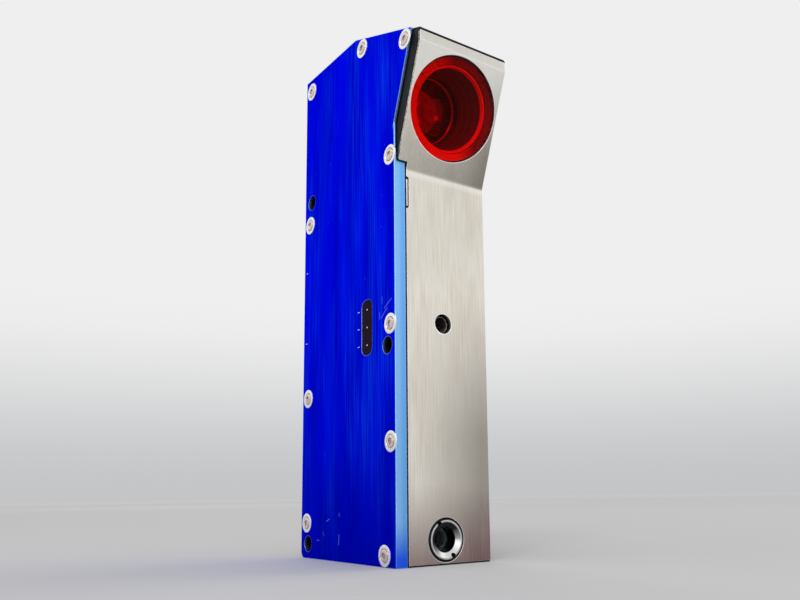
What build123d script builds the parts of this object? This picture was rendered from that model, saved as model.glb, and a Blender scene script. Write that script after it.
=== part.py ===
from build123d import *
from math import cos, radians, sin, tan
import os

os.makedirs("parts", exist_ok=True)

# Millimetres. The optical plane is X = 0, the cover lies on the -X side, the front looks to -Y and
# the bottom face is Z = 0 with the origin at half its depth.

# Case
WIDTH = 38.0
DEPTH = 65.0
HEIGHT = 190.0
OPTICAL_SHIFT = 0.5
OPTICAL_OFFSET = WIDTH / 2 + OPTICAL_SHIFT
CANT = 20.0
WINDOW_SIDE_MARGIN = 0.75
WINDOW_LOW_MARGIN = 5.95
WINDOW_HIGH_MARGIN = 0.55
WINDOW_OPENING = WIDTH - OPTICAL_OFFSET - WINDOW_SIDE_MARGIN
WINDOW_DISTANCE = WINDOW_LOW_MARGIN + WINDOW_OPENING
HEAD_FACE = WINDOW_DISTANCE + WINDOW_OPENING + WINDOW_HIGH_MARGIN
LIP_HEIGHT = 4.233
LIP_DROP = 14.6
LIP_TOP_HEIGHT = HEIGHT - LIP_DROP
BEND_HEIGHT = LIP_TOP_HEIGHT - LIP_HEIGHT - HEAD_FACE * cos(radians(CANT))
CORNER_RADIUS = 2.5
TOP_WALL = 3.0
SIDE_WALL = 3.0
REAR_WALL = 3.5
FLOOR = 3.0
CAVITY_INSET = 6.0
EDGE_CHAMFER = 0.5
OVERLAP = 0.5

# Sheet parts on the case
COVER_SHEET = 0.8
COVER_FLANGE = 4.3
COVER_FLANGE_RISE = 2.1
COVER_FLANGE_HEIGHT = BEND_HEIGHT + COVER_FLANGE_RISE
COVER_SETBACK = 5.4
COVER_BEND_RADIUS = 0.4
GASKET_SHEET = 0.3
GASKET_MARGIN = 1.0
PLATE_SHEET = 1.2
PLATE_LEFT = 4.9
PLATE_HEAD_LEFT = 1.3
PLATE_STEP_RISE = 2.9
PLATE_STEP_HEIGHT = BEND_HEIGHT + PLATE_STEP_RISE
PLATE_FOOT = 0.5
PLATE_TOP_GAP = 0.9
PLATE_BEND_RADIUS = 3.0
PLATE_LIP_RADIUS = 1.2
NOTCH_FALL = 13.8
NOTCH_LOW = BEND_HEIGHT - NOTCH_FALL
NOTCH_LENGTH = 11.2
NOTCH_DEPTH = 1.0
NOTCH_CORNER = 0.9
BOND_FILM = 0.2
BOND_MARGIN = 0.8
SEAT_GAP = 0.1
CUT_REACH = 2.0

# Mounting holes and cover screws, each as distance behind the front face and height
MOUNT_RADIUS = 2.9
MOUNT_BOSS = 5.4
MOUNT_LOW = 5.2
MOUNT_RISE = 5.5
MOUNT_HIGH = BEND_HEIGHT + MOUNT_RISE
MOUNT_MIDDLE = (MOUNT_LOW + MOUNT_HIGH) / 2
MOUNT_FRONT = 4.6
MOUNT_REAR_INSET = 5.4
MOUNT_REAR = DEPTH - MOUNT_REAR_INSET
MOUNTS = [(MOUNT_REAR, MOUNT_LOW), (MOUNT_FRONT, MOUNT_MIDDLE), (MOUNT_REAR, MOUNT_HIGH)]
SCREW_FRONT = 2.5
SCREW_REAR_INSET = 4.6
SCREW_REAR = DEPTH - SCREW_REAR_INSET
SCREW_TOP_REAR_DROP = 5.4
SCREW_TOP_FRONT = 20.8
SCREW_TOP_FRONT_DROP = 5.7
SCREW_LIP = -7.2
SCREW_LIP_DROP = 15.9
SCREW_BEND_RISE = 4.8
SCREW_HIGH_REAR_DROP = 9.2
SCREW_SLOT_RISE = 6.9
SCREW_MIDDLE_REAR_DROP = 12.1
SCREW_LOW_FRONT_DROP = 31.6
SCREW_LOW_REAR_RISE = 7.5
SCREW_FOOT = 6.4
SCREW_FOOT_HEIGHT = 3.6
SCREWS = [
    (SCREW_REAR, HEIGHT - SCREW_TOP_REAR_DROP),
    (SCREW_TOP_FRONT, HEIGHT - SCREW_TOP_FRONT_DROP),
    (SCREW_LIP, HEIGHT - SCREW_LIP_DROP),
    (SCREW_FRONT, BEND_HEIGHT + SCREW_BEND_RISE),
    (SCREW_REAR, MOUNT_HIGH - SCREW_HIGH_REAR_DROP),
    (SCREW_FRONT, MOUNT_MIDDLE + SCREW_SLOT_RISE),
    (SCREW_REAR, MOUNT_MIDDLE - SCREW_MIDDLE_REAR_DROP),
    (SCREW_FRONT, MOUNT_MIDDLE - SCREW_LOW_FRONT_DROP),
    (SCREW_REAR, MOUNT_LOW + SCREW_LOW_REAR_RISE),
    (SCREW_FOOT, SCREW_FOOT_HEIGHT),
]
M3_RADIUS = 1.5
M3_LENGTH = 4.0
M3_HOLE_DEPTH = 3.4
SCREW_FLANGE_RADIUS = 3.45
SCREW_FLANGE = 0.4
SCREW_DOME_RADIUS = 2.6
SCREW_HEAD = 1.0
SCREW_DOME_CURVE = 6.0
SCREW_SOCKET_RADIUS = 1.2
SCREW_SOCKET_DEPTH = 0.8
SCREW_BOSS = 3.6
SCREW_BOSS_DEPTH = 8.0
M3_PAN_RADIUS = 2.75
M3_PAN = 2.0
THREAD_GAP = 0.05
HOLE_GAP = 0.1
M25_RADIUS = 1.25
M25_HEAD_RADIUS = 2.2
M25_HEAD = 1.5
M2_RADIUS = 1.0
M2_HEAD_RADIUS = 1.9
M2_HEAD = 1.3

# Front thread
INSERT_RISE = 8.45
INSERT_HEIGHT = MOUNT_MIDDLE + INSERT_RISE
INSERT_RADIUS = 4.0
INSERT_LENGTH = 10.0
INSERT_BOSS = 6.5
INSERT_FLOOR = 1.5
M5_CORE_RADIUS = 2.1
INSERT_MOUTH = 3.4
INSERT_CHAMFER = 0.5

# Emitter, distances behind the front face
EMITTER_HEIGHT = 8.0
EMITTER_OPENING = 7.2
EMITTER_BORE = 6.4
EMITTER_SHOULDER = 5.0
RING_FRONT = -0.3
RING_LENGTH = 3.3
RING_RIM = 5.8
RING_APERTURE = 3.9
RING_CONE = 1.1
SPANNER_NOTCH = 0.8
SPANNER_ANGLE = 118.0
SEAL_RECESS = 0.4
EMITTER_GLASS = 1.2
TUBE_RADIUS = 5.45
TUBE_START = 5.3
TUBE_END = 27.0
TUBE_MOUTH = 4.2
TUBE_BORE = 3.4
TUBE_THROAT = 2.2
TUBE_THROAT_START = 18.0
TUBE_BLOCK_TOP = 17.0
TUBE_BLOCK_HALF = 8.5
TUBE_LOCK_START = 6.0
TUBE_LOCK_BORE = 3.2
COLLIMATOR_START = 7.5
COLLIMATOR_EDGE = 3.0
COLLIMATOR_RIM = 1.0
COLLIMATOR_FRONT_BULGE = 0.7
COLLIMATOR_BACK_BULGE = 0.9
DIODE_SEAT = 22.0
DIODE_RADIUS = 2.8
DIODE_BASE = 1.2
DIODE_CAP_RADIUS = 1.9
DIODE_CAP = 2.6
DIODE_PINS = 3
DIODE_PIN_CIRCLE = 1.0
DIODE_PIN_RADIUS = 0.22
DIODE_PIN_STUB = 0.5
CLAMP_BORE = 1.6
CLAMP_LENGTH = 1.8
SET_SCREW_FROM_END = 10.0
SET_SCREW_LENGTH = 3.0
SET_SCREW_SOCKET_RADIUS = 0.85
SET_SCREW_SOCKET_DEPTH = 1.2
LASER_BOARD = 1.0
LASER_BOARD_RADIUS = 4.6

# Receiver, distances behind the plate's canted face
WINDOW_STEP = 0.4
WINDOW_BORE = WINDOW_OPENING - WINDOW_STEP
WINDOW_FRONT = 0.4
WINDOW_THICKNESS = 2.0
WINDOW_CHAMFER = 0.4
WINDOW_GASKET = 0.5
HOOD_LENGTH = 11.1
HOOD_WALL = 0.7
HOOD_RIM = 1.5
BARREL_WALL_GAP = 2.0
BARREL_RADIUS = WIDTH - OPTICAL_OFFSET - SIDE_WALL - BARREL_WALL_GAP
BARREL_LENGTH = 22.0
BARREL_SHOULDER = 0.8
HOOD_FLARE = 1.2
HOOD_BORE = BARREL_RADIUS + HOOD_FLARE
BARREL_WALL = 2.1
LENS_RADIUS = BARREL_RADIUS - BARREL_WALL
LENS_RIM = 1.9
LENS_SEAT = 2.0
LENS_EDGE = 2.0
LENS_BULGE = 1.5
LENS_FRONT_BULGE = 1.8
LENS_SPACER_LENGTH = 4.0
LENS_SPACER_WALL = 1.2
LENS_LOCK_LENGTH = 3.0
LENS_LOCK_WALL = 1.8
RIB_STARTS = (17.0, 27.0)
RIB_THICKNESS = 4.0
STRAP_CEILING_GAP = 0.3
STRAP_SHEET = 1.2
STRAP_SCREW_INSET = 2.3
STRAP_SCREW_LENGTH = 6.0
SENSOR_REAR_ROOM = 10.0
SENSOR_DISTANCE = DEPTH - SENSOR_REAR_ROOM
SENSOR_TILT = 13.0
SENSOR_BOARD = 1.2
SENSOR_BOARD_WIDTH = 22.0
SENSOR_BOARD_HEIGHT = 24.0
SENSOR_CHIP = 1.6
SENSOR_CHIP_SIZE = (8.0, 17.0)
SENSOR_GLASS = 0.5
SENSOR_GLASS_SIZE = (6.0, 15.0)
SENSOR_SCREWS = [(-8.5, -9.5), (8.5, 9.5)]
SENSOR_LEAD = (-7.0, 9.5)
BRACKET_SHEET = 3.0
BRACKET_FOOT = 8.0
BRACKET_FOOT_HEIGHT = 12.0
BRACKET_FOOT_OFFSET = 4.0
BRACKET_SCREW_PITCH = 7.0

# Electronics
BOARD_OFFSET = 7.0
BOARD_SHEET = 1.6
BOARD_FRONT = 11.0
BOARD_REAR_INSET = 10.0
BOARD_REAR = DEPTH - BOARD_REAR_INSET
BOARD_LOW = 22.0
BOARD_DROP = 3.7
BOARD_HIGH = BEND_HEIGHT - BOARD_DROP
BOARD_CORNER = 1.5
SPACER_INSET = 5.0
SPACER_FLATS = 5.5
SPACER_THREAD = 5.0
BOARD_SCREW_REACH = 4.0
STUD_LENGTH = 2.3
PROCESSOR_DEPTH = 38.0
PROCESSOR_FALL = 11.2
PROCESSOR_AT = (PROCESSOR_DEPTH, MOUNT_MIDDLE - PROCESSOR_FALL)
PROCESSOR_WIDTH = 14.0
THERMAL_PAD_WIDTH = 13.0
CHIP_SIZE = (6.0, 8.0)
CHIP_SHEET = 1.4
FRONT_CHIP_PITCH = 12.0
FRONT_CHIP_RISE = 16.0
FRONT_CHIPS = [
    (PROCESSOR_DEPTH - step * FRONT_CHIP_PITCH, BOARD_LOW + FRONT_CHIP_RISE) for step in range(2)
]
COIL_DEPTH = 22.0
COIL_FALL = 28.0
COIL_AT = (COIL_DEPTH, BOARD_HIGH - COIL_FALL)
DRIVER_CHIP_FALL = 9.2
MEMORY_CHIP_STEP = 12.0
MEMORY_CHIP_FALL = 32.0
BACK_CHIPS = [
    (COIL_DEPTH, MOUNT_MIDDLE - DRIVER_CHIP_FALL),
    (COIL_DEPTH + MEMORY_CHIP_STEP, BOARD_HIGH - MEMORY_CHIP_FALL),
]
COIL_WIDTH = 12.0
COIL_CORNER = 2.0
COIL_TALL = 6.5
CAPACITOR_FRONT = 20.0
CAPACITOR_PITCH = 11.0
CAPACITOR_RISE = 20.0
CAPACITORS = [
    (CAPACITOR_FRONT + step * CAPACITOR_PITCH, BOARD_LOW + CAPACITOR_RISE) for step in range(3)
]
CAPACITOR_RADIUS = 4.0
CAPACITOR_TALL = 10.0
LASER_HEADER_DEPTH = 24.0
LASER_HEADER_RISE = 8.0
LASER_HEADER = (LASER_HEADER_DEPTH, BOARD_LOW + LASER_HEADER_RISE)
SENSOR_HEADER_INSET = 23.0
SENSOR_HEADER_FALL = 7.0
SENSOR_HEADER = (DEPTH - SENSOR_HEADER_INSET, BOARD_HIGH - SENSOR_HEADER_FALL)
PLUG_HEADER_INSET = 19.5
PLUG_HEADER_DEPTH = DEPTH - PLUG_HEADER_INSET
HEADER_SIZE = (6.0, 8.0)
SLOT_DEPTH = 17.6
SLOT_RISE = 8.2
SLOT_HEIGHT = MOUNT_MIDDLE + SLOT_RISE
SLOT_WIDTH = 6.8
SLOT_LENGTH = 19.3
SLOT_RADIUS = 2.6
SLOT_LIP = 1.1
SLOT_PANE = 1.0
LAMP_COUNT = 3
LAMP_PITCH = 6.2
LAMP_HOLE = 1.6
LAMP_SIZE = (1.6, 2.0)
LAMP_TALL = 1.0
HEADER_TALL = 4.0
LEAD_RADIUS = 1.2
LEAD_STIFFNESS = 1.4
LASER_LEAD_OFFSET = 3.0

# Rear connectors, M12
PLUG_A_RISE = 9.3
PLUG_B_FALL = 22.0
PLUGS = {"a": MOUNT_MIDDLE + PLUG_A_RISE, "b": BEND_HEIGHT - PLUG_B_FALL}
PLUG_RADIUS = 6.0
PLUG_FLANGE = 8.2
PLUG_FLANGE_SHEET = 2.0
PLUG_WASHER = 0.8
PLUG_REACH = 13.0
PLUG_STUB = 9.0
PLUG_BORE = 4.6
PLUG_NUT_FLATS = 15.0
PLUG_NUT = 2.5
CONTACT_CIRCLE = 2.6
CONTACT_RADIUS = 0.45
CONTACT_COUNT = 4
CONTACT_ANGLE = 45.0
CONTACT_SINK = 5.0
CONTACT_TAIL = 1.5
KEY_WIDTH = 1.4

# Planes of the case
LEFT = -OPTICAL_OFFSET
RIGHT = WIDTH - OPTICAL_OFFSET
FRONT = -DEPTH / 2
REAR = DEPTH / 2
BODY_LEFT = LEFT + COVER_SHEET + GASKET_SHEET
INNER_RIGHT = RIGHT - SIDE_WALL
PLATE_BACK = PLATE_SHEET + BOND_FILM
LAND_RIGHT = LEFT + PLATE_LEFT - SEAT_GAP
LAND_TOP = COVER_FLANGE_HEIGHT + 2 * SEAT_GAP
BOARD_X = LEFT + BOARD_OFFSET
BOARD_BACK_X = BOARD_X + BOARD_SHEET
HEADER_TOP_X = BOARD_BACK_X + HEADER_TALL
COVER_INNER_X = LEFT + COVER_SHEET
LEAN = radians(CANT)


def side(x):
    """Plane across X: local x runs back from the front face and local y runs up."""
    return Plane(origin=(x, FRONT, 0), x_dir=(0, 1, 0), z_dir=(1, 0, 0))


def front(depth):
    """Plane parallel to the front face, its normal forward: local x is X and local y is Z."""
    return Plane(origin=(0, FRONT + depth, 0), x_dir=(1, 0, 0), z_dir=(0, -1, 0))


def inset(points, distance):
    """Open outline moved to its right-hand side by a distance, with mitred corners."""
    normals = []
    for (x0, y0), (x1, y1) in zip(points, points[1:]):
        run = Vector(x1 - x0, y1 - y0).normalized()
        normals.append((run.Y, -run.X))
    moved = []
    for index, (x, y) in enumerate(points):
        before = normals[max(index - 1, 0)]
        after = normals[min(index, len(normals) - 1)]
        share = distance / (1 + before[0] * after[0] + before[1] * after[1])
        moved.append((x + share * (before[0] + after[0]), y + share * (before[1] + after[1])))
    return moved


def turned(section, profile):
    """Body of revolution about a section plane's local y axis, from (radius, distance) corners."""
    with BuildPart() as piece:
        with BuildSketch(section):
            with BuildLine():
                Polyline(*profile, close=True)
            make_face()
        revolve(axis=Axis(section.origin, section.y_dir))
    return piece


def lens(section, radius, rim, start, edge, front_bulge, back_bulge):
    """Lens with two spherical faces inside a flat rim, its straight edge starting at start."""
    clear = radius - rim
    end = start + edge
    front_curve = (clear**2 + front_bulge**2) / (2 * front_bulge)
    back_curve = (clear**2 + back_bulge**2) / (2 * back_bulge)
    with BuildPart() as piece:
        with BuildSketch(section):
            with BuildLine():
                RadiusArc((0, start - front_bulge), (clear, start), -front_curve)
                Polyline((clear, start), (radius, start), (radius, end), (clear, end))
                RadiusArc((clear, end), (0, end + back_bulge), -back_curve)
                Line((0, end + back_bulge), (0, start - front_bulge))
            make_face()
        revolve(axis=Axis(section.origin, section.y_dir))
    return piece


def lead(start, leaving, end, arriving):
    """Round lead on one smooth curve between two points, with its directions at both ends."""
    with BuildPart() as piece:
        with BuildLine() as route:
            Spline(start, end, tangents=(leaving, arriving), tangent_scalars=2 * (LEAD_STIFFNESS,))
        with BuildSketch(Plane(origin=route.line @ 0, z_dir=route.line % 0)):
            Circle(LEAD_RADIUS)
        sweep()
    return piece


# Side outline of the case: front, bend, canted face, lip, sloping top, ridge
lip_depth = -HEAD_FACE * sin(LEAN)
lip_height = BEND_HEIGHT + HEAD_FACE * cos(LEAN)
ridge_depth = lip_depth + (HEIGHT - LIP_TOP_HEIGHT) / tan(LEAN)
plate_top = LIP_TOP_HEIGHT - PLATE_TOP_GAP
plate_line = [(0, PLATE_FOOT), (0, BEND_HEIGHT), (lip_depth, lip_height), (lip_depth, plate_top)]
top_line = [(lip_depth, LIP_TOP_HEIGHT), (ridge_depth, HEIGHT), (DEPTH, HEIGHT)]
seat_line = [
    (0, PLATE_FOOT - SEAT_GAP),
    (0, BEND_HEIGHT),
    (lip_depth, lip_height),
    (lip_depth, plate_top + SEAT_GAP),
]
body_outline = (
    [(0, 0), seat_line[0]] + inset(seat_line, PLATE_BACK) + [seat_line[-1]] + top_line + [(DEPTH, 0)]
)

# Cavity outline behind the walls
inner_line = [(0, FLOOR), (0, BEND_HEIGHT), (lip_depth, lip_height), (lip_depth, HEIGHT)]
wall_line = inset(inner_line, CAVITY_INSET)
ceiling = inset(top_line, TOP_WALL)
cavity_corner = (wall_line[-1][0], ceiling[1][1] + (wall_line[-1][0] - ceiling[1][0]) * tan(LEAN))
cavity_outline = wall_line[:3] + [
    cavity_corner,
    ceiling[1],
    (DEPTH - REAR_WALL, HEIGHT - TOP_WALL),
    (DEPTH - REAR_WALL, FLOOR),
]

# Cover outline: its canted edge runs parallel to the canted face, further back
cover_edge = inset([(0, BEND_HEIGHT), (lip_depth, lip_height)], COVER_SETBACK)
cover_bend = (0, cover_edge[0][1] + cover_edge[0][0] / tan(LEAN))
edge_length = (cover_edge[0][0] - lip_depth) * sin(LEAN) + (LIP_TOP_HEIGHT - cover_edge[0][1]) * cos(LEAN)
cover_peak = (
    cover_edge[0][0] - edge_length * sin(LEAN),
    cover_edge[0][1] + edge_length * cos(LEAN),
)
cover_outline = [(0, 0), cover_bend, cover_peak, top_line[1], top_line[2], (DEPTH, 0)]
gasket_outline = inset([cover_outline[-1], *cover_outline, cover_outline[0]], GASKET_MARGIN)[1:-1]
bossed_screws = [at for at in SCREWS if at[0] != SCREW_FRONT]

# Axes of the two optical paths; the receiver's axis runs parallel to the sloping top
head_rise = (LIP_TOP_HEIGHT - BEND_HEIGHT) * cos(LEAN) - lip_depth * sin(LEAN)
rib_reach = head_rise - WINDOW_DISTANCE - TOP_WALL - STRAP_CEILING_GAP
strap_screw_offset = rib_reach - STRAP_SCREW_INSET
window_depth = -WINDOW_DISTANCE * sin(LEAN)
window_height = BEND_HEIGHT + WINDOW_DISTANCE * cos(LEAN)
window_centre = (0, FRONT + window_depth, window_height)
receiver = Plane(origin=window_centre, x_dir=(1, 0, 0), z_dir=(0, cos(LEAN), sin(LEAN)))
receiver_section = Plane(origin=window_centre, x_dir=(1, 0, 0), z_dir=(0, -sin(LEAN), cos(LEAN)))
emitter_section = Plane(origin=(0, FRONT, EMITTER_HEIGHT), x_dir=(1, 0, 0), z_dir=(0, 0, 1))
insert_end = PLATE_BACK + INSERT_LENGTH + SEAT_GAP
set_screw_at = (0, FRONT + TUBE_END - SET_SCREW_FROM_END)
window_back = WINDOW_FRONT + WINDOW_THICKNESS
window_seat = window_back + WINDOW_GASKET
hood_end = window_seat + HOOD_LENGTH
barrel_end = hood_end + BARREL_LENGTH
front_lens_start = hood_end + LENS_SEAT
sensor_angle = radians(CANT + SENSOR_TILT)
sensor_centre = receiver.origin + receiver.z_dir * SENSOR_DISTANCE
sensor = Plane(sensor_centre, x_dir=(1, 0, 0), z_dir=(0, cos(sensor_angle), sin(sensor_angle)))
bracket_wall = Plane(sensor.origin + Vector(INNER_RIGHT, 0, 0), x_dir=sensor.z_dir, z_dir=(1, 0, 0))
strap_middles = [receiver.offset(start + RIB_THICKNESS / 2).origin for start in RIB_STARTS]
strap_planes = [Plane(middle, x_dir=receiver.z_dir, z_dir=(1, 0, 0)) for middle in strap_middles]
strap_screws_at = [(0, -strap_screw_offset), (0, strap_screw_offset)]
spacers = [
    (depth, height)
    for depth in (BOARD_FRONT + SPACER_INSET, BOARD_REAR - SPACER_INSET)
    for height in (BOARD_LOW + SPACER_INSET, BOARD_HIGH - SPACER_INSET)
]
bracket_screws_at = [
    (
        SENSOR_BOARD + BRACKET_SHEET + BRACKET_FOOT / 2,
        way * BRACKET_SCREW_PITCH / 2 - BRACKET_FOOT_OFFSET,
    )
    for way in (-1, 1)
]

# Housing: open box with a canted head
with BuildPart() as housing:
    with BuildSketch(side(BODY_LEFT)) as outline:
        with BuildLine():
            Polyline(*body_outline, close=True)
        make_face()
        fillet(outline.vertices().sort_by(Axis.Y)[:2].sort_by(Axis.X)[-1], CORNER_RADIUS)
    extrude(amount=RIGHT - BODY_LEFT)
    right_edges = housing.faces().sort_by(Axis.X)[-1].edges()
    chamfer(right_edges.filter_by_position(Axis.Y, FRONT + PLATE_BACK + SEAT_GAP, REAR), EDGE_CHAMFER)
    # Land under the cover's front flange, with room for the flange itself
    for reach, mode in ((COVER_SHEET - PLATE_BACK, Mode.ADD), (COVER_SHEET, Mode.SUBTRACT)):
        with BuildSketch(front(COVER_SHEET)):
            with Locations((BODY_LEFT, 0)):
                Rectangle(LAND_RIGHT - BODY_LEFT, LAND_TOP, align=(Align.MIN, Align.MIN))
        extrude(amount=reach, mode=mode)
    # Cavity, with round bosses left standing
    with BuildSketch(side(BODY_LEFT)):
        with BuildLine():
            Polyline(*cavity_outline, close=True)
        make_face()
        with Locations(*MOUNTS):
            Circle(MOUNT_BOSS, mode=Mode.SUBTRACT)
    extrude(amount=INNER_RIGHT - BODY_LEFT, mode=Mode.SUBTRACT)
    with BuildSketch(side(BODY_LEFT)):
        with Locations(*bossed_screws):
            Circle(SCREW_BOSS)
        with BuildLine():
            Polyline(*cavity_outline, close=True)
        make_face(mode=Mode.INTERSECT)
    extrude(amount=SCREW_BOSS_DEPTH)
    # Block round the laser tube and boss round the front thread
    with BuildSketch(front(TUBE_END - LASER_BOARD)):
        with Locations((-TUBE_BLOCK_HALF, FLOOR - OVERLAP)):
            Rectangle(
                TUBE_BLOCK_HALF + INNER_RIGHT + OVERLAP,
                TUBE_BLOCK_TOP - FLOOR + OVERLAP,
                align=(Align.MIN, Align.MIN),
            )
    extrude(amount=TUBE_END - LASER_BOARD - CAVITY_INSET + OVERLAP)
    with BuildSketch(front(insert_end + INSERT_FLOOR)):
        with Locations((0, INSERT_HEIGHT)):
            Circle(INSERT_BOSS)
    extrude(amount=insert_end + INSERT_FLOOR - CAVITY_INSET + OVERLAP)
    # Ribs that cradle the lens barrel
    for rib_start in RIB_STARTS:
        with BuildSketch(receiver.offset(rib_start)):
            Rectangle(
                INNER_RIGHT + OVERLAP,
                2 * (rib_reach + OVERLAP),
                align=(Align.MIN, Align.CENTER),
            )
            Circle(BARREL_RADIUS + THREAD_GAP, mode=Mode.SUBTRACT)
        extrude(amount=RIB_THICKNESS)
    for strap_plane in strap_planes:
        with BuildSketch(strap_plane):
            with Locations(*strap_screws_at):
                Circle(M2_RADIUS + THREAD_GAP)
        extrude(amount=STRAP_SCREW_LENGTH + OVERLAP, mode=Mode.SUBTRACT)
    # Bores in the front: window, hood, emitter, thread
    with BuildSketch(receiver.offset(window_seat)):
        Circle(WINDOW_BORE)
    extrude(amount=-window_seat, mode=Mode.SUBTRACT)
    with BuildSketch(receiver.offset(hood_end)):
        Circle(HOOD_BORE)
    extrude(amount=-hood_end, mode=Mode.SUBTRACT)
    with BuildSketch(front(EMITTER_SHOULDER)):
        with Locations((0, EMITTER_HEIGHT)):
            Circle(EMITTER_BORE)
    extrude(amount=EMITTER_SHOULDER, mode=Mode.SUBTRACT)
    with BuildSketch(front(TUBE_END)):
        with Locations((0, EMITTER_HEIGHT)):
            Circle(TUBE_RADIUS + THREAD_GAP)
    extrude(amount=TUBE_END, mode=Mode.SUBTRACT)
    with BuildSketch(front(insert_end)):
        with Locations((0, INSERT_HEIGHT)):
            Circle(INSERT_RADIUS)
    extrude(amount=insert_end, mode=Mode.SUBTRACT)
    # Set screw hole above the laser tube
    with BuildSketch(Plane.XY.offset(EMITTER_HEIGHT)):
        with Locations(set_screw_at):
            Circle(M3_RADIUS + THREAD_GAP)
    extrude(amount=TUBE_BLOCK_TOP, mode=Mode.SUBTRACT)
    # Screw holes and mounting holes from the side
    with BuildSketch(side(BODY_LEFT)):
        with Locations(*SCREWS):
            Circle(M3_RADIUS + THREAD_GAP)
    extrude(amount=M3_HOLE_DEPTH, mode=Mode.SUBTRACT)
    with BuildSketch(side(BODY_LEFT)):
        with Locations(*MOUNTS):
            Circle(MOUNT_RADIUS)
    extrude(amount=RIGHT - BODY_LEFT, mode=Mode.SUBTRACT)
    # Stud holes in the right wall
    with BuildSketch(side(INNER_RIGHT)):
        with Locations(*spacers):
            Circle(M3_RADIUS + THREAD_GAP)
    extrude(amount=STUD_LENGTH + SEAT_GAP, mode=Mode.SUBTRACT)
    with BuildSketch(bracket_wall):
        with Locations(*bracket_screws_at):
            Circle(M25_RADIUS + THREAD_GAP)
    extrude(amount=STUD_LENGTH + SEAT_GAP, mode=Mode.SUBTRACT)
    # Connector holes in the rear wall
    with BuildSketch(front(DEPTH)):
        with Locations(*[(0, height) for height in PLUGS.values()]):
            Circle(PLUG_RADIUS + HOLE_GAP)
    extrude(amount=REAR_WALL, mode=Mode.SUBTRACT)

# Front plate: bent sheet with the lens opening, two round openings and a pry notch
with BuildPart() as front_plate:
    with BuildSketch(side(LEFT + PLATE_HEAD_LEFT)) as bent:
        with BuildLine():
            Polyline(*plate_line, *reversed(inset(plate_line, PLATE_SHEET)), close=True)
        make_face()
        fillet(bent.vertices().sort_by_distance(plate_line[1])[0], PLATE_BEND_RADIUS)
        fillet(bent.vertices().sort_by_distance(plate_line[2])[0], PLATE_LIP_RADIUS)
    extrude(amount=WIDTH - PLATE_HEAD_LEFT)
    with BuildSketch(front(PLATE_SHEET)):
        with Locations((LEFT, 0)):
            Rectangle(PLATE_LEFT, PLATE_STEP_HEIGHT, align=(Align.MIN, Align.MIN))
        with Locations((LEFT + PLATE_LEFT, NOTCH_LOW + NOTCH_LENGTH / 2)):
            RectangleRounded(2 * NOTCH_DEPTH, NOTCH_LENGTH, NOTCH_CORNER)
        with Locations((0, EMITTER_HEIGHT)):
            Circle(EMITTER_OPENING)
        with Locations((0, INSERT_HEIGHT)):
            Circle(INSERT_MOUTH)
    extrude(amount=CUT_REACH, both=True, mode=Mode.SUBTRACT)
    with BuildSketch(receiver.offset(PLATE_BACK)):
        Circle(WINDOW_OPENING)
    extrude(amount=-PLATE_BACK, mode=Mode.SUBTRACT)

# Adhesive film between plate and housing
with BuildPart() as front_bond:
    film_line = [(0, PLATE_FOOT + BOND_MARGIN), *plate_line[1:3], (lip_depth, plate_top - BOND_MARGIN)]
    with BuildSketch(side(LEFT + PLATE_HEAD_LEFT + BOND_MARGIN)):
        with BuildLine():
            Polyline(*inset(film_line, PLATE_SHEET), *reversed(inset(film_line, PLATE_BACK)), close=True)
        make_face()
    extrude(amount=WIDTH - PLATE_HEAD_LEFT - 2 * BOND_MARGIN)
    with BuildSketch(front(PLATE_BACK)):
        with Locations((LEFT, 0)):
            Rectangle(
                PLATE_LEFT + NOTCH_DEPTH + BOND_MARGIN,
                PLATE_STEP_HEIGHT + CUT_REACH,
                align=(Align.MIN, Align.MIN),
            )
        with Locations((0, EMITTER_HEIGHT)):
            Circle(EMITTER_OPENING + HOLE_GAP)
        with Locations((0, INSERT_HEIGHT)):
            Circle(INSERT_RADIUS + HOLE_GAP)
    extrude(amount=PLATE_SHEET, both=True, mode=Mode.SUBTRACT)
    with BuildSketch(receiver.offset(window_seat)):
        Circle(WINDOW_OPENING + HOLE_GAP)
    extrude(amount=-window_seat, mode=Mode.SUBTRACT)

# Side cover with its front return flange, slot and holes
with BuildPart() as side_cover:
    with BuildSketch(side(LEFT)) as sheet:
        with BuildLine():
            Polyline(*cover_outline, close=True)
        make_face()
        fillet(sheet.vertices().sort_by(Axis.Y)[:2].sort_by(Axis.X)[-1], CORNER_RADIUS)
    extrude(amount=COVER_SHEET)
    with BuildSketch(front(0)):
        with Locations((LEFT, 0)):
            Rectangle(COVER_FLANGE, COVER_FLANGE_HEIGHT, align=(Align.MIN, Align.MIN))
    extrude(amount=-COVER_SHEET)
    upright = side_cover.edges().filter_by(Axis.Z).group_by(Axis.Y)[0]
    fillet(upright.sort_by(Axis.Z).group_by(Axis.X)[0].sort_by(Axis.Z)[0], COVER_BEND_RADIUS)
    with BuildSketch(side(LEFT)):
        with Locations(*MOUNTS):
            Circle(MOUNT_RADIUS)
        with Locations(*SCREWS):
            Circle(M3_RADIUS + HOLE_GAP)
        with Locations((SLOT_DEPTH, SLOT_HEIGHT)):
            RectangleRounded(SLOT_WIDTH, SLOT_LENGTH, SLOT_RADIUS)
    extrude(amount=COVER_SHEET, mode=Mode.SUBTRACT)

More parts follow.
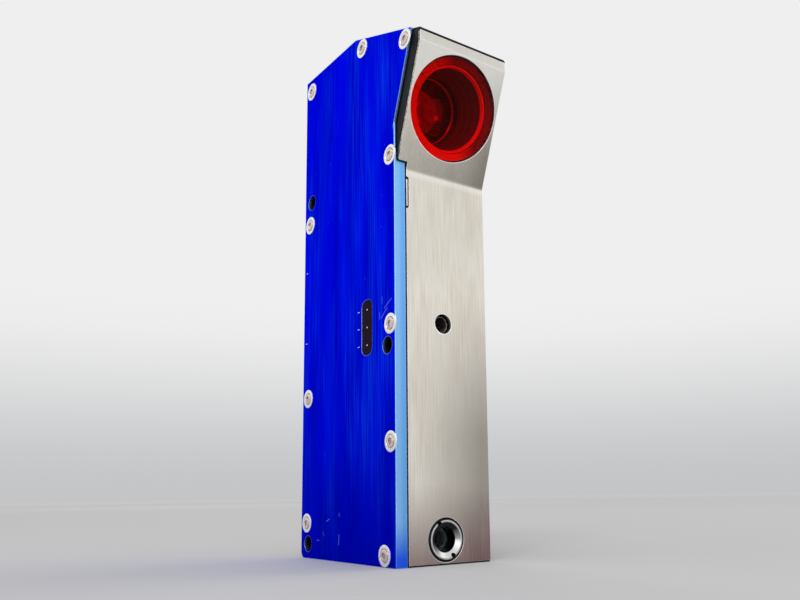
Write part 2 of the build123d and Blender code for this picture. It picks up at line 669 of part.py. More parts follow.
# Flat gasket between cover and housing, left on the walls and bosses only
with BuildPart() as cover_gasket:
    with BuildSketch(side(COVER_INNER_X)):
        Polygon(*cover_outline, align=None)
        Polygon(*cavity_outline, align=None, mode=Mode.SUBTRACT)
        with Locations(*bossed_screws):
            Circle(SCREW_BOSS)
        with Locations(*MOUNTS):
            Circle(MOUNT_BOSS)
        Polygon(*gasket_outline, align=None, mode=Mode.INTERSECT)
        with Locations(*MOUNTS):
            Circle(MOUNT_RADIUS, mode=Mode.SUBTRACT)
        with Locations(*SCREWS):
            Circle(M3_RADIUS + HOLE_GAP, mode=Mode.SUBTRACT)
    extrude(amount=GASKET_SHEET)

# Ten flanged button-head screws round the cover
screw_section = Plane(origin=(0, 0, 0), x_dir=(0, 1, 0), z_dir=(0, 0, 1))
with BuildPart() as cover_screw:
    with BuildSketch(screw_section):
        with BuildLine():
            Polyline(
                (0, SCREW_HEAD),
                (0, -M3_LENGTH),
                (M3_RADIUS, -M3_LENGTH),
                (M3_RADIUS, 0),
                (SCREW_FLANGE_RADIUS, 0),
                (SCREW_FLANGE_RADIUS, SCREW_FLANGE),
                (SCREW_DOME_RADIUS, SCREW_FLANGE),
            )
            RadiusArc((SCREW_DOME_RADIUS, SCREW_FLANGE), (0, SCREW_HEAD), -SCREW_DOME_CURVE)
        make_face()
    revolve(axis=Axis(screw_section.origin, screw_section.y_dir))
    with BuildSketch(Plane(origin=(-SCREW_HEAD, 0, 0), x_dir=(0, 1, 0), z_dir=(1, 0, 0))):
        RegularPolygon(SCREW_SOCKET_RADIUS, 6)
    extrude(amount=SCREW_SOCKET_DEPTH, mode=Mode.SUBTRACT)
with BuildPart() as cover_screws:
    with Locations(*[(LEFT, FRONT + depth, height) for depth, height in SCREWS]):
        add(cover_screw.part)

# Threaded steel bush behind the front hole
thread_insert = turned(
    Plane(origin=(0, FRONT + PLATE_BACK, INSERT_HEIGHT), x_dir=(1, 0, 0), z_dir=(0, 0, 1)),
    [
        (M5_CORE_RADIUS + INSERT_CHAMFER, SEAT_GAP),
        (INSERT_RADIUS, SEAT_GAP),
        (INSERT_RADIUS, INSERT_LENGTH + SEAT_GAP),
        (M5_CORE_RADIUS, INSERT_LENGTH + SEAT_GAP),
        (M5_CORE_RADIUS, SEAT_GAP + INSERT_CHAMFER),
    ],
)

# Emitter, from the front inwards
ring_end = RING_FRONT + RING_LENGTH
emitter_window_end = ring_end + EMITTER_GLASS
with BuildPart() as emitter_ring:
    with BuildSketch(emitter_section):
        with BuildLine():
            Polyline(
                (RING_RIM, RING_FRONT),
                (EMITTER_BORE - HOLE_GAP, RING_FRONT),
                (EMITTER_BORE - HOLE_GAP, ring_end),
                (RING_APERTURE, ring_end),
                (RING_APERTURE, RING_FRONT + RING_CONE),
                close=True,
            )
        make_face()
    revolve(axis=Axis(emitter_section.origin, emitter_section.y_dir))
    with BuildSketch(front(RING_FRONT)):
        with Locations((0, EMITTER_HEIGHT)):
            with PolarLocations(RING_RIM, 2, start_angle=SPANNER_ANGLE):
                Circle(SPANNER_NOTCH)
    extrude(amount=-RING_CONE, mode=Mode.SUBTRACT)

emitter_seal = turned(
    emitter_section,
    [
        (EMITTER_BORE - HOLE_GAP / 2, SEAL_RECESS),
        (EMITTER_OPENING - HOLE_GAP / 2, SEAL_RECESS),
        (EMITTER_OPENING - HOLE_GAP / 2, PLATE_BACK),
        (EMITTER_BORE - HOLE_GAP / 2, PLATE_BACK),
    ],
)
with BuildPart() as emitter_window:
    with BuildSketch(front(emitter_window_end)):
        with Locations((0, EMITTER_HEIGHT)):
            Circle(EMITTER_BORE - HOLE_GAP)
    extrude(amount=emitter_window_end - ring_end)
with BuildPart() as emitter_gasket:
    with BuildSketch(front(EMITTER_SHOULDER)):
        with Locations((0, EMITTER_HEIGHT)):
            Circle(EMITTER_BORE - HOLE_GAP)
            Circle(TUBE_RADIUS + HOLE_GAP, mode=Mode.SUBTRACT)
    extrude(amount=EMITTER_SHOULDER - emitter_window_end)

collimator_end = COLLIMATOR_START + COLLIMATOR_EDGE
laser_tube = turned(
    emitter_section,
    [
        (TUBE_MOUTH, TUBE_START),
        (TUBE_RADIUS, TUBE_START),
        (TUBE_RADIUS, TUBE_END),
        (DIODE_RADIUS + HOLE_GAP, TUBE_END),
        (DIODE_RADIUS + HOLE_GAP, DIODE_SEAT),
        (TUBE_THROAT, DIODE_SEAT),
        (TUBE_THROAT, TUBE_THROAT_START),
        (TUBE_BORE, TUBE_THROAT_START),
        (TUBE_BORE, collimator_end),
        (TUBE_MOUTH, collimator_end),
    ],
)
tube_lock_ring = turned(
    emitter_section,
    [
        (TUBE_LOCK_BORE, TUBE_LOCK_START),
        (TUBE_MOUTH - THREAD_GAP, TUBE_LOCK_START),
        (TUBE_MOUTH - THREAD_GAP, COLLIMATOR_START),
        (TUBE_LOCK_BORE, COLLIMATOR_START),
    ],
)
collimator_lens = lens(
    emitter_section,
    TUBE_MOUTH - HOLE_GAP,
    COLLIMATOR_RIM,
    COLLIMATOR_START,
    COLLIMATOR_EDGE,
    COLLIMATOR_FRONT_BULGE,
    COLLIMATOR_BACK_BULGE,
)
diode_end = DIODE_SEAT + DIODE_BASE
with BuildPart() as laser_diode:
    with BuildSketch(emitter_section):
        with BuildLine():
            Polyline(
                (0, DIODE_SEAT - DIODE_CAP),
                (DIODE_CAP_RADIUS, DIODE_SEAT - DIODE_CAP),
                (DIODE_CAP_RADIUS, DIODE_SEAT),
                (DIODE_RADIUS, DIODE_SEAT),
                (DIODE_RADIUS, diode_end),
                (0, diode_end),
                close=True,
            )
        make_face()
    revolve(axis=Axis(emitter_section.origin, emitter_section.y_dir))
    with BuildSketch(front(diode_end)):
        with Locations((0, EMITTER_HEIGHT)):
            with PolarLocations(DIODE_PIN_CIRCLE, DIODE_PINS):
                Circle(DIODE_PIN_RADIUS)
    extrude(amount=diode_end - TUBE_END - LASER_BOARD - DIODE_PIN_STUB)
diode_clamp = turned(
    emitter_section,
    [
        (CLAMP_BORE, diode_end),
        (DIODE_RADIUS + HOLE_GAP / 2, diode_end),
        (DIODE_RADIUS + HOLE_GAP / 2, diode_end + CLAMP_LENGTH),
        (CLAMP_BORE, diode_end + CLAMP_LENGTH),
    ],
)
with BuildPart() as laser_board:
    with BuildSketch(front(TUBE_END)):
        with Locations((0, EMITTER_HEIGHT)):
            Circle(LASER_BOARD_RADIUS)
            with PolarLocations(DIODE_PIN_CIRCLE, DIODE_PINS):
                Circle(DIODE_PIN_RADIUS + THREAD_GAP, mode=Mode.SUBTRACT)
    extrude(amount=-LASER_BOARD)
with BuildPart() as laser_set_screw:
    with BuildSketch(Plane.XY.offset(EMITTER_HEIGHT + TUBE_RADIUS)):
        with Locations(set_screw_at):
            Circle(M3_RADIUS)
    extrude(amount=SET_SCREW_LENGTH)
    with BuildSketch(Plane.XY.offset(EMITTER_HEIGHT + TUBE_RADIUS + SET_SCREW_LENGTH)):
        with Locations(set_screw_at):
            RegularPolygon(SET_SCREW_SOCKET_RADIUS, 6)
    extrude(amount=-SET_SCREW_SOCKET_DEPTH, mode=Mode.SUBTRACT)

# Receiver, from the front inwards
receiver_window = turned(
    receiver_section,
    [
        (0, WINDOW_FRONT),
        (WINDOW_BORE - HOLE_GAP - WINDOW_CHAMFER, WINDOW_FRONT),
        (WINDOW_BORE - HOLE_GAP, WINDOW_FRONT + WINDOW_CHAMFER),
        (WINDOW_BORE - HOLE_GAP, window_back),
        (0, window_back),
    ],
)
receiver_gasket = turned(
    receiver_section,
    [
        (HOOD_BORE + HOLE_GAP, window_back),
        (WINDOW_BORE - HOLE_GAP, window_back),
        (WINDOW_BORE - HOLE_GAP, window_seat),
        (HOOD_BORE + HOLE_GAP, window_seat),
    ],
)
lens_hood = turned(
    receiver_section,
    [
        (HOOD_BORE - HOLE_GAP - HOOD_WALL, window_seat),
        (HOOD_BORE - HOLE_GAP, window_seat),
        (HOOD_BORE - HOLE_GAP, window_seat + HOOD_RIM),
        (BARREL_RADIUS - HOLE_GAP, hood_end),
        (LENS_RADIUS - HOOD_WALL, hood_end),
    ],
)
lens_barrel = turned(
    receiver_section,
    [
        (LENS_RADIUS - BARREL_SHOULDER, hood_end),
        (BARREL_RADIUS, hood_end),
        (BARREL_RADIUS, barrel_end),
        (LENS_RADIUS + HOLE_GAP, barrel_end),
        (LENS_RADIUS + HOLE_GAP, front_lens_start),
        (LENS_RADIUS - BARREL_SHOULDER, front_lens_start),
    ],
)
spacer_start = front_lens_start + LENS_EDGE
rear_lens_start = spacer_start + LENS_SPACER_LENGTH
lock_start = rear_lens_start + LENS_EDGE
front_lens = lens(
    receiver_section, LENS_RADIUS, LENS_RIM, front_lens_start, LENS_EDGE, LENS_FRONT_BULGE, LENS_BULGE
)
lens_spacer = turned(
    receiver_section,
    [
        (LENS_RADIUS - LENS_SPACER_WALL, spacer_start),
        (LENS_RADIUS, spacer_start),
        (LENS_RADIUS, rear_lens_start),
        (LENS_RADIUS - LENS_SPACER_WALL, rear_lens_start),
    ],
)
rear_lens = lens(
    receiver_section, LENS_RADIUS, LENS_RIM, rear_lens_start, LENS_EDGE, LENS_BULGE, LENS_BULGE
)
lens_lock_ring = turned(
    receiver_section,
    [
        (LENS_RADIUS - LENS_LOCK_WALL, lock_start),
        (LENS_RADIUS, lock_start),
        (LENS_RADIUS, lock_start + LENS_LOCK_LENGTH),
        (LENS_RADIUS - LENS_LOCK_WALL, lock_start + LENS_LOCK_LENGTH),
    ],
)

# Straps over the barrel, screwed to the ribs
strap_radius = BARREL_RADIUS + THREAD_GAP
with BuildPart() as barrel_straps:
    for rib_start in RIB_STARTS:
        with BuildSketch(receiver.offset(rib_start)):
            Circle(strap_radius + STRAP_SHEET)
            Circle(strap_radius, mode=Mode.SUBTRACT)
            with Locations((WIDTH / 2, 0)):
                Rectangle(WIDTH, WIDTH, mode=Mode.SUBTRACT)
            for way in (-1, 1):
                with Locations((-STRAP_SHEET / 2, way * (rib_reach + strap_radius) / 2)):
                    Rectangle(STRAP_SHEET, rib_reach - strap_radius)
        extrude(amount=RIB_THICKNESS)
    for strap_plane in strap_planes:
        with BuildSketch(strap_plane):
            with Locations(*strap_screws_at):
                Circle(M2_RADIUS + HOLE_GAP)
        extrude(amount=-STRAP_SHEET, mode=Mode.SUBTRACT)
with BuildPart() as strap_screws:
    for strap_plane in strap_planes:
        for radius, reach in ((M2_RADIUS, STRAP_SHEET + STRAP_SCREW_LENGTH), (M2_HEAD_RADIUS, -M2_HEAD)):
            with BuildSketch(strap_plane.offset(-STRAP_SHEET)):
                with Locations(*strap_screws_at):
                    Circle(radius)
            extrude(amount=reach)

# Image sensor on its tilted board, held by a bracket on the right wall
with BuildPart() as image_sensor:
    with BuildSketch(sensor):
        Rectangle(*SENSOR_CHIP_SIZE)
    extrude(amount=-SENSOR_CHIP)
with BuildPart() as sensor_glass:
    with BuildSketch(sensor.offset(-SENSOR_CHIP)):
        Rectangle(*SENSOR_GLASS_SIZE)
    extrude(amount=-SENSOR_GLASS)
with BuildPart() as sensor_board:
    with BuildSketch(sensor):
        Rectangle(SENSOR_BOARD_WIDTH, SENSOR_BOARD_HEIGHT)
        with Locations(*SENSOR_SCREWS):
            Circle(M2_RADIUS + HOLE_GAP, mode=Mode.SUBTRACT)
    extrude(amount=SENSOR_BOARD)
with BuildPart() as sensor_bracket:
    with BuildSketch(sensor.offset(SENSOR_BOARD)):
        with Locations((INNER_RIGHT, 0)):
            Rectangle(
                INNER_RIGHT + SENSOR_BOARD_WIDTH / 2,
                SENSOR_BOARD_HEIGHT,
                align=(Align.MAX, Align.CENTER),
            )
        with Locations(*SENSOR_SCREWS):
            Circle(M2_RADIUS + THREAD_GAP, mode=Mode.SUBTRACT)
    extrude(amount=BRACKET_SHEET)
    with BuildSketch(sensor.offset(SENSOR_BOARD + BRACKET_SHEET)):
        with Locations((INNER_RIGHT, BRACKET_FOOT_OFFSET)):
            Rectangle(BRACKET_SHEET, BRACKET_FOOT_HEIGHT, align=(Align.MAX, Align.CENTER))
    extrude(amount=BRACKET_FOOT)
    with BuildSketch(bracket_wall):
        with Locations(*bracket_screws_at):
            Circle(M25_RADIUS + HOLE_GAP)
    extrude(amount=-BRACKET_SHEET, mode=Mode.SUBTRACT)
with BuildPart() as sensor_screws:
    with BuildSketch(sensor.offset(SENSOR_BOARD + BRACKET_SHEET)):
        with Locations(*SENSOR_SCREWS):
            Circle(M2_RADIUS)
    extrude(amount=-SENSOR_BOARD - BRACKET_SHEET)
    with BuildSketch(sensor):
        with Locations(*SENSOR_SCREWS):
            Circle(M2_HEAD_RADIUS)
    extrude(amount=-M2_HEAD)
with BuildPart() as bracket_screws:
    for radius, reach in ((M25_RADIUS, BRACKET_SHEET + STUD_LENGTH), (M25_HEAD_RADIUS, -M25_HEAD)):
        with BuildSketch(bracket_wall.offset(-BRACKET_SHEET)):
            with Locations(*bracket_screws_at):
                Circle(radius)
        extrude(amount=reach)

# Main board with what it carries
with BuildPart() as main_board:
    with BuildSketch(side(BOARD_X)):
        with Locations(((BOARD_FRONT + BOARD_REAR) / 2, (BOARD_LOW + BOARD_HIGH) / 2)):
            RectangleRounded(BOARD_REAR - BOARD_FRONT, BOARD_HIGH - BOARD_LOW, BOARD_CORNER)
        with Locations(*spacers):
            Circle(M3_RADIUS + HOLE_GAP, mode=Mode.SUBTRACT)
    extrude(amount=BOARD_SHEET)
with BuildPart() as board_spacers:
    with BuildSketch(side(BOARD_BACK_X)):
        with Locations(*spacers):
            RegularPolygon(SPACER_FLATS / 2, 6, major_radius=False)
    extrude(amount=INNER_RIGHT - BOARD_BACK_X)
    with BuildSketch(side(INNER_RIGHT)):
        with Locations(*spacers):
            Circle(M3_RADIUS)
    extrude(amount=STUD_LENGTH)
    with BuildSketch(side(BOARD_BACK_X)):
        with Locations(*spacers):
            Circle(M3_RADIUS + THREAD_GAP)
    extrude(amount=SPACER_THREAD, mode=Mode.SUBTRACT)
with BuildPart() as board_screws:
    for radius, reach in ((M3_RADIUS, BOARD_SHEET + BOARD_SCREW_REACH), (M3_PAN_RADIUS, -M3_PAN)):
        with BuildSketch(side(BOARD_X)):
            with Locations(*spacers):
                Circle(radius)
        extrude(amount=reach)
with BuildPart() as processor:
    with BuildSketch(side(BOARD_X)):
        with Locations(PROCESSOR_AT):
            Rectangle(PROCESSOR_WIDTH, PROCESSOR_WIDTH)
    extrude(amount=-CHIP_SHEET)
with BuildPart() as thermal_pad:
    with BuildSketch(side(COVER_INNER_X)):
        with Locations(PROCESSOR_AT):
            Rectangle(THERMAL_PAD_WIDTH, THERMAL_PAD_WIDTH)
    extrude(amount=BOARD_X - CHIP_SHEET - COVER_INNER_X)
with BuildPart() as board_chips:
    for chip_x, chips_at, reach in (
        (BOARD_X, FRONT_CHIPS, -CHIP_SHEET),
        (BOARD_BACK_X, BACK_CHIPS, CHIP_SHEET),
    ):
        with BuildSketch(side(chip_x)):
            with Locations(*chips_at):
                Rectangle(*CHIP_SIZE)
        extrude(amount=reach)
with BuildPart() as power_coil:
    with BuildSketch(side(BOARD_BACK_X)):
        with Locations(COIL_AT):
            RectangleRounded(COIL_WIDTH, COIL_WIDTH, COIL_CORNER)
    extrude(amount=COIL_TALL)
with BuildPart() as capacitors:
    with BuildSketch(side(BOARD_BACK_X)):
        with Locations(*CAPACITORS):
            Circle(CAPACITOR_RADIUS)
    extrude(amount=CAPACITOR_TALL)
with BuildPart() as board_headers:
    with BuildSketch(side(BOARD_BACK_X)):
        with Locations(LASER_HEADER, SENSOR_HEADER, *[(PLUG_HEADER_DEPTH, z) for z in PLUGS.values()]):
            Rectangle(*HEADER_SIZE)
    extrude(amount=HEADER_TALL)

# Indicator: lamps on the board, light guide, tinted slot window
with BuildPart() as indicator_lamps:
    with BuildSketch(side(BOARD_X)):
        with Locations((SLOT_DEPTH, SLOT_HEIGHT)):
            with GridLocations(1, LAMP_PITCH, 1, LAMP_COUNT):
                Rectangle(*LAMP_SIZE)
    extrude(amount=-LAMP_TALL)
with BuildPart() as light_guide:
    with BuildSketch(side(BOARD_X)):
        with Locations((SLOT_DEPTH, SLOT_HEIGHT)):
            RectangleRounded(SLOT_WIDTH, SLOT_LENGTH, SLOT_RADIUS)
            with GridLocations(1, LAMP_PITCH, 1, LAMP_COUNT):
                Circle(LAMP_HOLE, mode=Mode.SUBTRACT)
    extrude(amount=COVER_INNER_X + SLOT_PANE - BOARD_X)
with BuildPart() as indicator_window:
    with BuildSketch(side(COVER_INNER_X)):
        with Locations((SLOT_DEPTH, SLOT_HEIGHT)):
            RectangleRounded(SLOT_WIDTH + 2 * SLOT_LIP, SLOT_LENGTH + 2 * SLOT_LIP, SLOT_RADIUS + SLOT_LIP)
    extrude(amount=SLOT_PANE)
    with BuildSketch(side(COVER_INNER_X)):
        with Locations((SLOT_DEPTH, SLOT_HEIGHT)):
            RectangleRounded(SLOT_WIDTH - HOLE_GAP, SLOT_LENGTH - HOLE_GAP, SLOT_RADIUS - HOLE_GAP / 2)
    extrude(amount=-COVER_SHEET + SEAT_GAP)

# Leads from the light source and from the image sensor to the board
laser_lead = lead(
    (0, FRONT + TUBE_END + LASER_BOARD, EMITTER_HEIGHT + LASER_LEAD_OFFSET),
    (0, 1, 0),
    (HEADER_TOP_X, FRONT + LASER_HEADER[0], LASER_HEADER[1]),
    (-1, 0, 0),
)
sensor_lead = lead(
    sensor.from_local_coords((SENSOR_LEAD[0], SENSOR_LEAD[1], 0)),
    -sensor.z_dir,
    (HEADER_TOP_X, FRONT + SENSOR_HEADER[0], SENSOR_HEADER[1]),
    (-1, 0, 0),
)

# Round connectors on the rear face
plug_pieces = {}
for name, height in PLUGS.items():
    plug_section = Plane(origin=(0, REAR, height), x_dir=(1, 0, 0), z_dir=(0, 0, 1))
    plug_axis = Axis(plug_section.origin, plug_section.y_dir)
    with BuildPart() as plug_washer:
        with BuildSketch(plug_section):
            with BuildLine():
                Polyline(
                    (PLUG_RADIUS + HOLE_GAP, 0),
                    (PLUG_FLANGE, 0),
                    (PLUG_FLANGE, PLUG_WASHER),
                    (PLUG_RADIUS + HOLE_GAP, PLUG_WASHER),
                    close=True,
                )
            make_face()
        revolve(axis=plug_axis)
    with BuildPart() as plug_shell:
        with BuildSketch(plug_section):
            with BuildLine():
                Polyline(
                    (PLUG_BORE, -PLUG_STUB),
                    (PLUG_RADIUS, -PLUG_STUB),
                    (PLUG_RADIUS, PLUG_WASHER),
                    (PLUG_FLANGE, PLUG_WASHER),
                    (PLUG_FLANGE, PLUG_WASHER + PLUG_FLANGE_SHEET),
                    (PLUG_RADIUS, PLUG_WASHER + PLUG_FLANGE_SHEET),
                    (PLUG_RADIUS, PLUG_REACH - EDGE_CHAMFER),
                    (PLUG_RADIUS - EDGE_CHAMFER, PLUG_REACH),
                    (PLUG_BORE, PLUG_REACH),
                    close=True,
                )
            make_face()
        revolve(axis=plug_axis)
    contact_rear = Plane(origin=(0, REAR - PLUG_STUB, height), x_dir=(1, 0, 0), z_dir=(0, -1, 0))
    with BuildPart() as plug_insert:
        with BuildSketch(contact_rear):
            Circle(PLUG_BORE - THREAD_GAP)
            with PolarLocations(CONTACT_CIRCLE, CONTACT_COUNT, start_angle=CONTACT_ANGLE):
                Circle(CONTACT_RADIUS + THREAD_GAP, mode=Mode.SUBTRACT)
            with Locations((0, PLUG_BORE)):
                Rectangle(KEY_WIDTH, KEY_WIDTH, mode=Mode.SUBTRACT)
        extrude(amount=-(PLUG_STUB + PLUG_REACH - EDGE_CHAMFER))
    with BuildPart() as plug_contacts:
        with BuildSketch(contact_rear.offset(CONTACT_TAIL)):
            with PolarLocations(CONTACT_CIRCLE, CONTACT_COUNT, start_angle=CONTACT_ANGLE):
                Circle(CONTACT_RADIUS)
        extrude(amount=-(PLUG_STUB + PLUG_REACH - CONTACT_SINK + CONTACT_TAIL))
    with BuildPart() as plug_nut:
        with BuildSketch(Plane(origin=(0, REAR - REAR_WALL, height), x_dir=(1, 0, 0), z_dir=(0, -1, 0))):
            RegularPolygon(PLUG_NUT_FLATS / 2, 6, major_radius=False)
            Circle(PLUG_RADIUS + THREAD_GAP, mode=Mode.SUBTRACT)
        extrude(amount=PLUG_NUT)
    plug_lead = lead(
        (0, REAR - PLUG_STUB, height),
        (0, -1, 0),
        (HEADER_TOP_X, FRONT + PLUG_HEADER_DEPTH, height),
        (-1, 0, 0),
    )
    plug_pieces |= {
        f"plug_washer_{name}": plug_washer,
        f"plug_shell_{name}": plug_shell,
        f"plug_insert_{name}": plug_insert,
        f"plug_contacts_{name}": plug_contacts,
        f"plug_nut_{name}": plug_nut,
        f"plug_lead_{name}": plug_lead,
    }

pieces = {
    "housing": housing,
    "front_plate": front_plate,
    "front_bond": front_bond,
    "side_cover": side_cover,
    "cover_gasket": cover_gasket,
    "cover_screws": cover_screws,
    "thread_insert": thread_insert,
    "emitter_ring": emitter_ring,
    "emitter_seal": emitter_seal,
    "emitter_window": emitter_window,
    "emitter_gasket": emitter_gasket,
    "laser_tube": laser_tube,
    "tube_lock_ring": tube_lock_ring,
    "collimator_lens": collimator_lens,
    "laser_diode": laser_diode,
    "diode_clamp": diode_clamp,
    "laser_board": laser_board,
    "laser_set_screw": laser_set_screw,
    "laser_lead": laser_lead,
    "receiver_window": receiver_window,
    "receiver_gasket": receiver_gasket,
    "lens_hood": lens_hood,
    "lens_barrel": lens_barrel,
    "front_lens": front_lens,
    "lens_spacer": lens_spacer,
    "rear_lens": rear_lens,
    "lens_lock_ring": lens_lock_ring,
    "barrel_straps": barrel_straps,
    "strap_screws": strap_screws,
    "image_sensor": image_sensor,
    "sensor_glass": sensor_glass,
    "sensor_board": sensor_board,
    "sensor_bracket": sensor_bracket,
    "sensor_screws": sensor_screws,
    "bracket_screws": bracket_screws,
    "sensor_lead": sensor_lead,
    "main_board": main_board,
    "board_spacers": board_spacers,
    "board_screws": board_screws,
    "processor": processor,
    "thermal_pad": thermal_pad,
    "board_chips": board_chips,
    "power_coil": power_coil,
    "capacitors": capacitors,
    "board_headers": board_headers,
    "indicator_lamps": indicator_lamps,
    "light_guide": light_guide,
    "indicator_window": indicator_window,
    **plug_pieces,
}
for label, piece in pieces.items():
    piece.part.label = label
    export_step(piece.part, f"parts/{label}.step")
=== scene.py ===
"""Looks of the laser displacement sensor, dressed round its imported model.

The frame is the model's own, in metres: Z is up, the beam leaves towards -Y and the blue cover faces -X. Sizes in the
classes below are in millimetres, and each surface is turned to metres where it is worked out.
"""

import logging
from dataclasses import dataclass
from enum import Enum
from functools import partial

import bpy
import numpy as np
from mathutils import Matrix, Vector


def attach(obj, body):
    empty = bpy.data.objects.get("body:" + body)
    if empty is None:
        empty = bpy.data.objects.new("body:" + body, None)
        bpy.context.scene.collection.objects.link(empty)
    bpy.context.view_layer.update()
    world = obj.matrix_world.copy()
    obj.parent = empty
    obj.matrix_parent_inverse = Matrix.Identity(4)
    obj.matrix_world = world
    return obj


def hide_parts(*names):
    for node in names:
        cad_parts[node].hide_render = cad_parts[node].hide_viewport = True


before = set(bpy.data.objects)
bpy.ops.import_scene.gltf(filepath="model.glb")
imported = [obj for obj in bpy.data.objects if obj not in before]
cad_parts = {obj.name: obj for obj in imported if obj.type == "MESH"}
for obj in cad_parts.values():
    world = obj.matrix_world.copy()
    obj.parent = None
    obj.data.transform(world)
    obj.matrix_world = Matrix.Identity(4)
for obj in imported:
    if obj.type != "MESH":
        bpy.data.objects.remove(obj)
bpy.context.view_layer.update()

LOG = logging.getLogger("sensor_looks")
MM = 0.001
FRONT = -32.5
REAR = 32.5
COVER_FACE = -19.5
SHARP_ANGLE = 38.0
CORNER_STEPS = 4
BEVEL_SAMPLES = 6
Socket = bpy.types.NodeSocket
Span = tuple[float, float]
Point = tuple[float, float, float]
UP: Point = (0.0, 0.0, 1.0)
LEFT: Point = (-1.0, 0.0, 0.0)
RIGHT: Point = (1.0, 0.0, 0.0)
FORWARD: Point = (0.0, -1.0, 0.0)
BACK: Point = (0.0, 1.0, 0.0)
CANTED: Point = (0.0, -0.93969, -0.34202)
INWARD: Point = (0.0, 0.93969, 0.34202)


class Slot(Enum):
    """Material slot names of the record; no piece in this script takes its finish from them."""

    SCREWS = "zinc_steel"
    BUSH = "black_oxide"
    FILTER = "red_glass"
    LENS = "clear_glass"
    PLUG = "nickel_brass"
    INK = "header_cream"
    LAMP = "lamp_clear"


def linear(code: str) -> tuple[float, ...]:
    """Turn an sRGB hex colour into a linear one.

    Args:
        code: The colour as #RRGGBB.
    Returns:
        Red, green, blue and a full alpha.
    """
    srgb = np.array([int(code[place : place + 2], 16) for place in (1, 3, 5)]) / 255
    rgb = np.where(srgb <= 0.04045, srgb / 12.92, ((srgb + 0.055) / 1.055) ** 2.4)
    return (*rgb.tolist(), 1.0)


def add_node(
    tree: bpy.types.NodeTree,
    kind: str,
    inputs: dict[int | str, object] | None = None,
    out: int | str = 0,
    **settings: object,
) -> Socket:
    """Add one shader node with its settings and what its inputs get.

    Args:
        tree: The node tree it goes into.
        kind: Its type, without the ShaderNode in front.
        inputs: A value for each input, or the socket that feeds it, by the input's name or number.
        out: The output that is wanted, by name or number.
        settings: Its own settings.
    Returns:
        That output.
    """
    node = tree.nodes.new("ShaderNode" + kind)
    for name, setting in settings.items():
        setattr(node, name, setting)
    for name, value in (inputs or {}).items():
        if isinstance(value, Socket):
            tree.links.new(value, node.inputs[name])
        else:
            node.inputs[name].default_value = value
    return node.outputs[out]


# Surfaces


@dataclass(frozen=True)
class Shell:
    """One closed surface as whole arrays: points in metres, faces by point number and a value of dirt and painted shade
    per point.
    """

    points: np.ndarray
    quads: np.ndarray
    triangles: np.ndarray
    soil: np.ndarray


@dataclass(frozen=True)
class Spindle:
    """The axis that a turned surface goes round: a centre, the way along it and the way that its angle starts."""

    centre: Point
    along: Point
    across: Point = RIGHT

    def place(self, grid: np.ndarray) -> np.ndarray:
        """Place a grid of radii and heights round the axis.

        The point in row i and column j is the centre, plus its height times the way along, plus its radius times
        (cosine of the column's angle times the way across, plus its sine times the way square to both).

        Args:
            grid: Rows by columns by 2, with one column for each angle of a full turn.
        Returns:
            Points in metres, rows by columns by 3.
        """
        along, across = np.array(self.along), np.array(self.across)
        angles = np.linspace(0, 2 * np.pi, grid.shape[1], endpoint=False)
        out = np.cos(angles)[:, None] * across + np.sin(angles)[:, None] * np.cross(along, across)
        return (np.array(self.centre) + grid[..., 1:] * along + grid[..., :1] * out) * MM


WINDOW_AXIS = Spindle((0, -40.606, 153.971), INWARD)
THREAD_AXIS = Spindle((0, FRONT, 79.65), BACK)
EMITTER_AXIS = Spindle((0, FRONT, 8.0), BACK)


def turn(
    spindle: Spindle, parts: list[np.ndarray], columns: int, looped: bool = False, soil: np.ndarray | None = None
) -> Shell:
    """Carry a profile once round an axis and close it into a shell.

    Each face joins (i, j), (i, j+1), (i+1, j+1) and (i+1, j), with the last column joined to the first. A looped
    surface also joins its last row to its first; any other one ends in a point on the axis at each end.

    Args:
        spindle: The axis it goes round.
        parts: The profile's rows of radius and height, part by part: rows by 2 where they are the same at every
            angle, or rows by columns by 2.
        columns: Steps of the turn.
        looped: True for a ring, False for a solid that has both its ends on the axis.
        soil: Dirt and painted shade of each row, from 0 to 1.
    Returns:
        The shell, with its faces outwards where the rows run up the outside.
    """
    grid = np.concatenate([part if part.ndim == 3 else np.repeat(part[:, None], columns, axis=1) for part in parts])
    rows = len(grid)
    points = spindle.place(grid).reshape(-1, 3)
    dirt_and_shade_rows = np.repeat(np.zeros(rows) if soil is None else soil, columns)
    here = np.arange(rows * columns).reshape(rows, columns)
    beside = np.roll(here, -1, axis=1)
    if looped:
        quads = np.stack([here, beside, np.roll(beside, -1, axis=0), np.roll(here, -1, axis=0)], -1)
        return Shell(points, quads.reshape(-1, 4), np.zeros((0, 3), int), dirt_and_shade_rows)
    quads = np.stack([here[:-1], beside[:-1], beside[1:], here[1:]], -1).reshape(-1, 4)
    ends = spindle.place(grid[[0, -1], :1] * (0, 1)).reshape(-1, 3)
    first, last = np.full(columns, rows * columns), np.full(columns, rows * columns + 1)
    caps = np.concatenate([np.stack([first, beside[0], here[0]], -1), np.stack([last, here[-1], beside[-1]], -1)])
    return Shell(np.vstack([points, ends]), quads, caps, np.append(dirt_and_shade_rows, dirt_and_shade_rows[[0, -1]]))


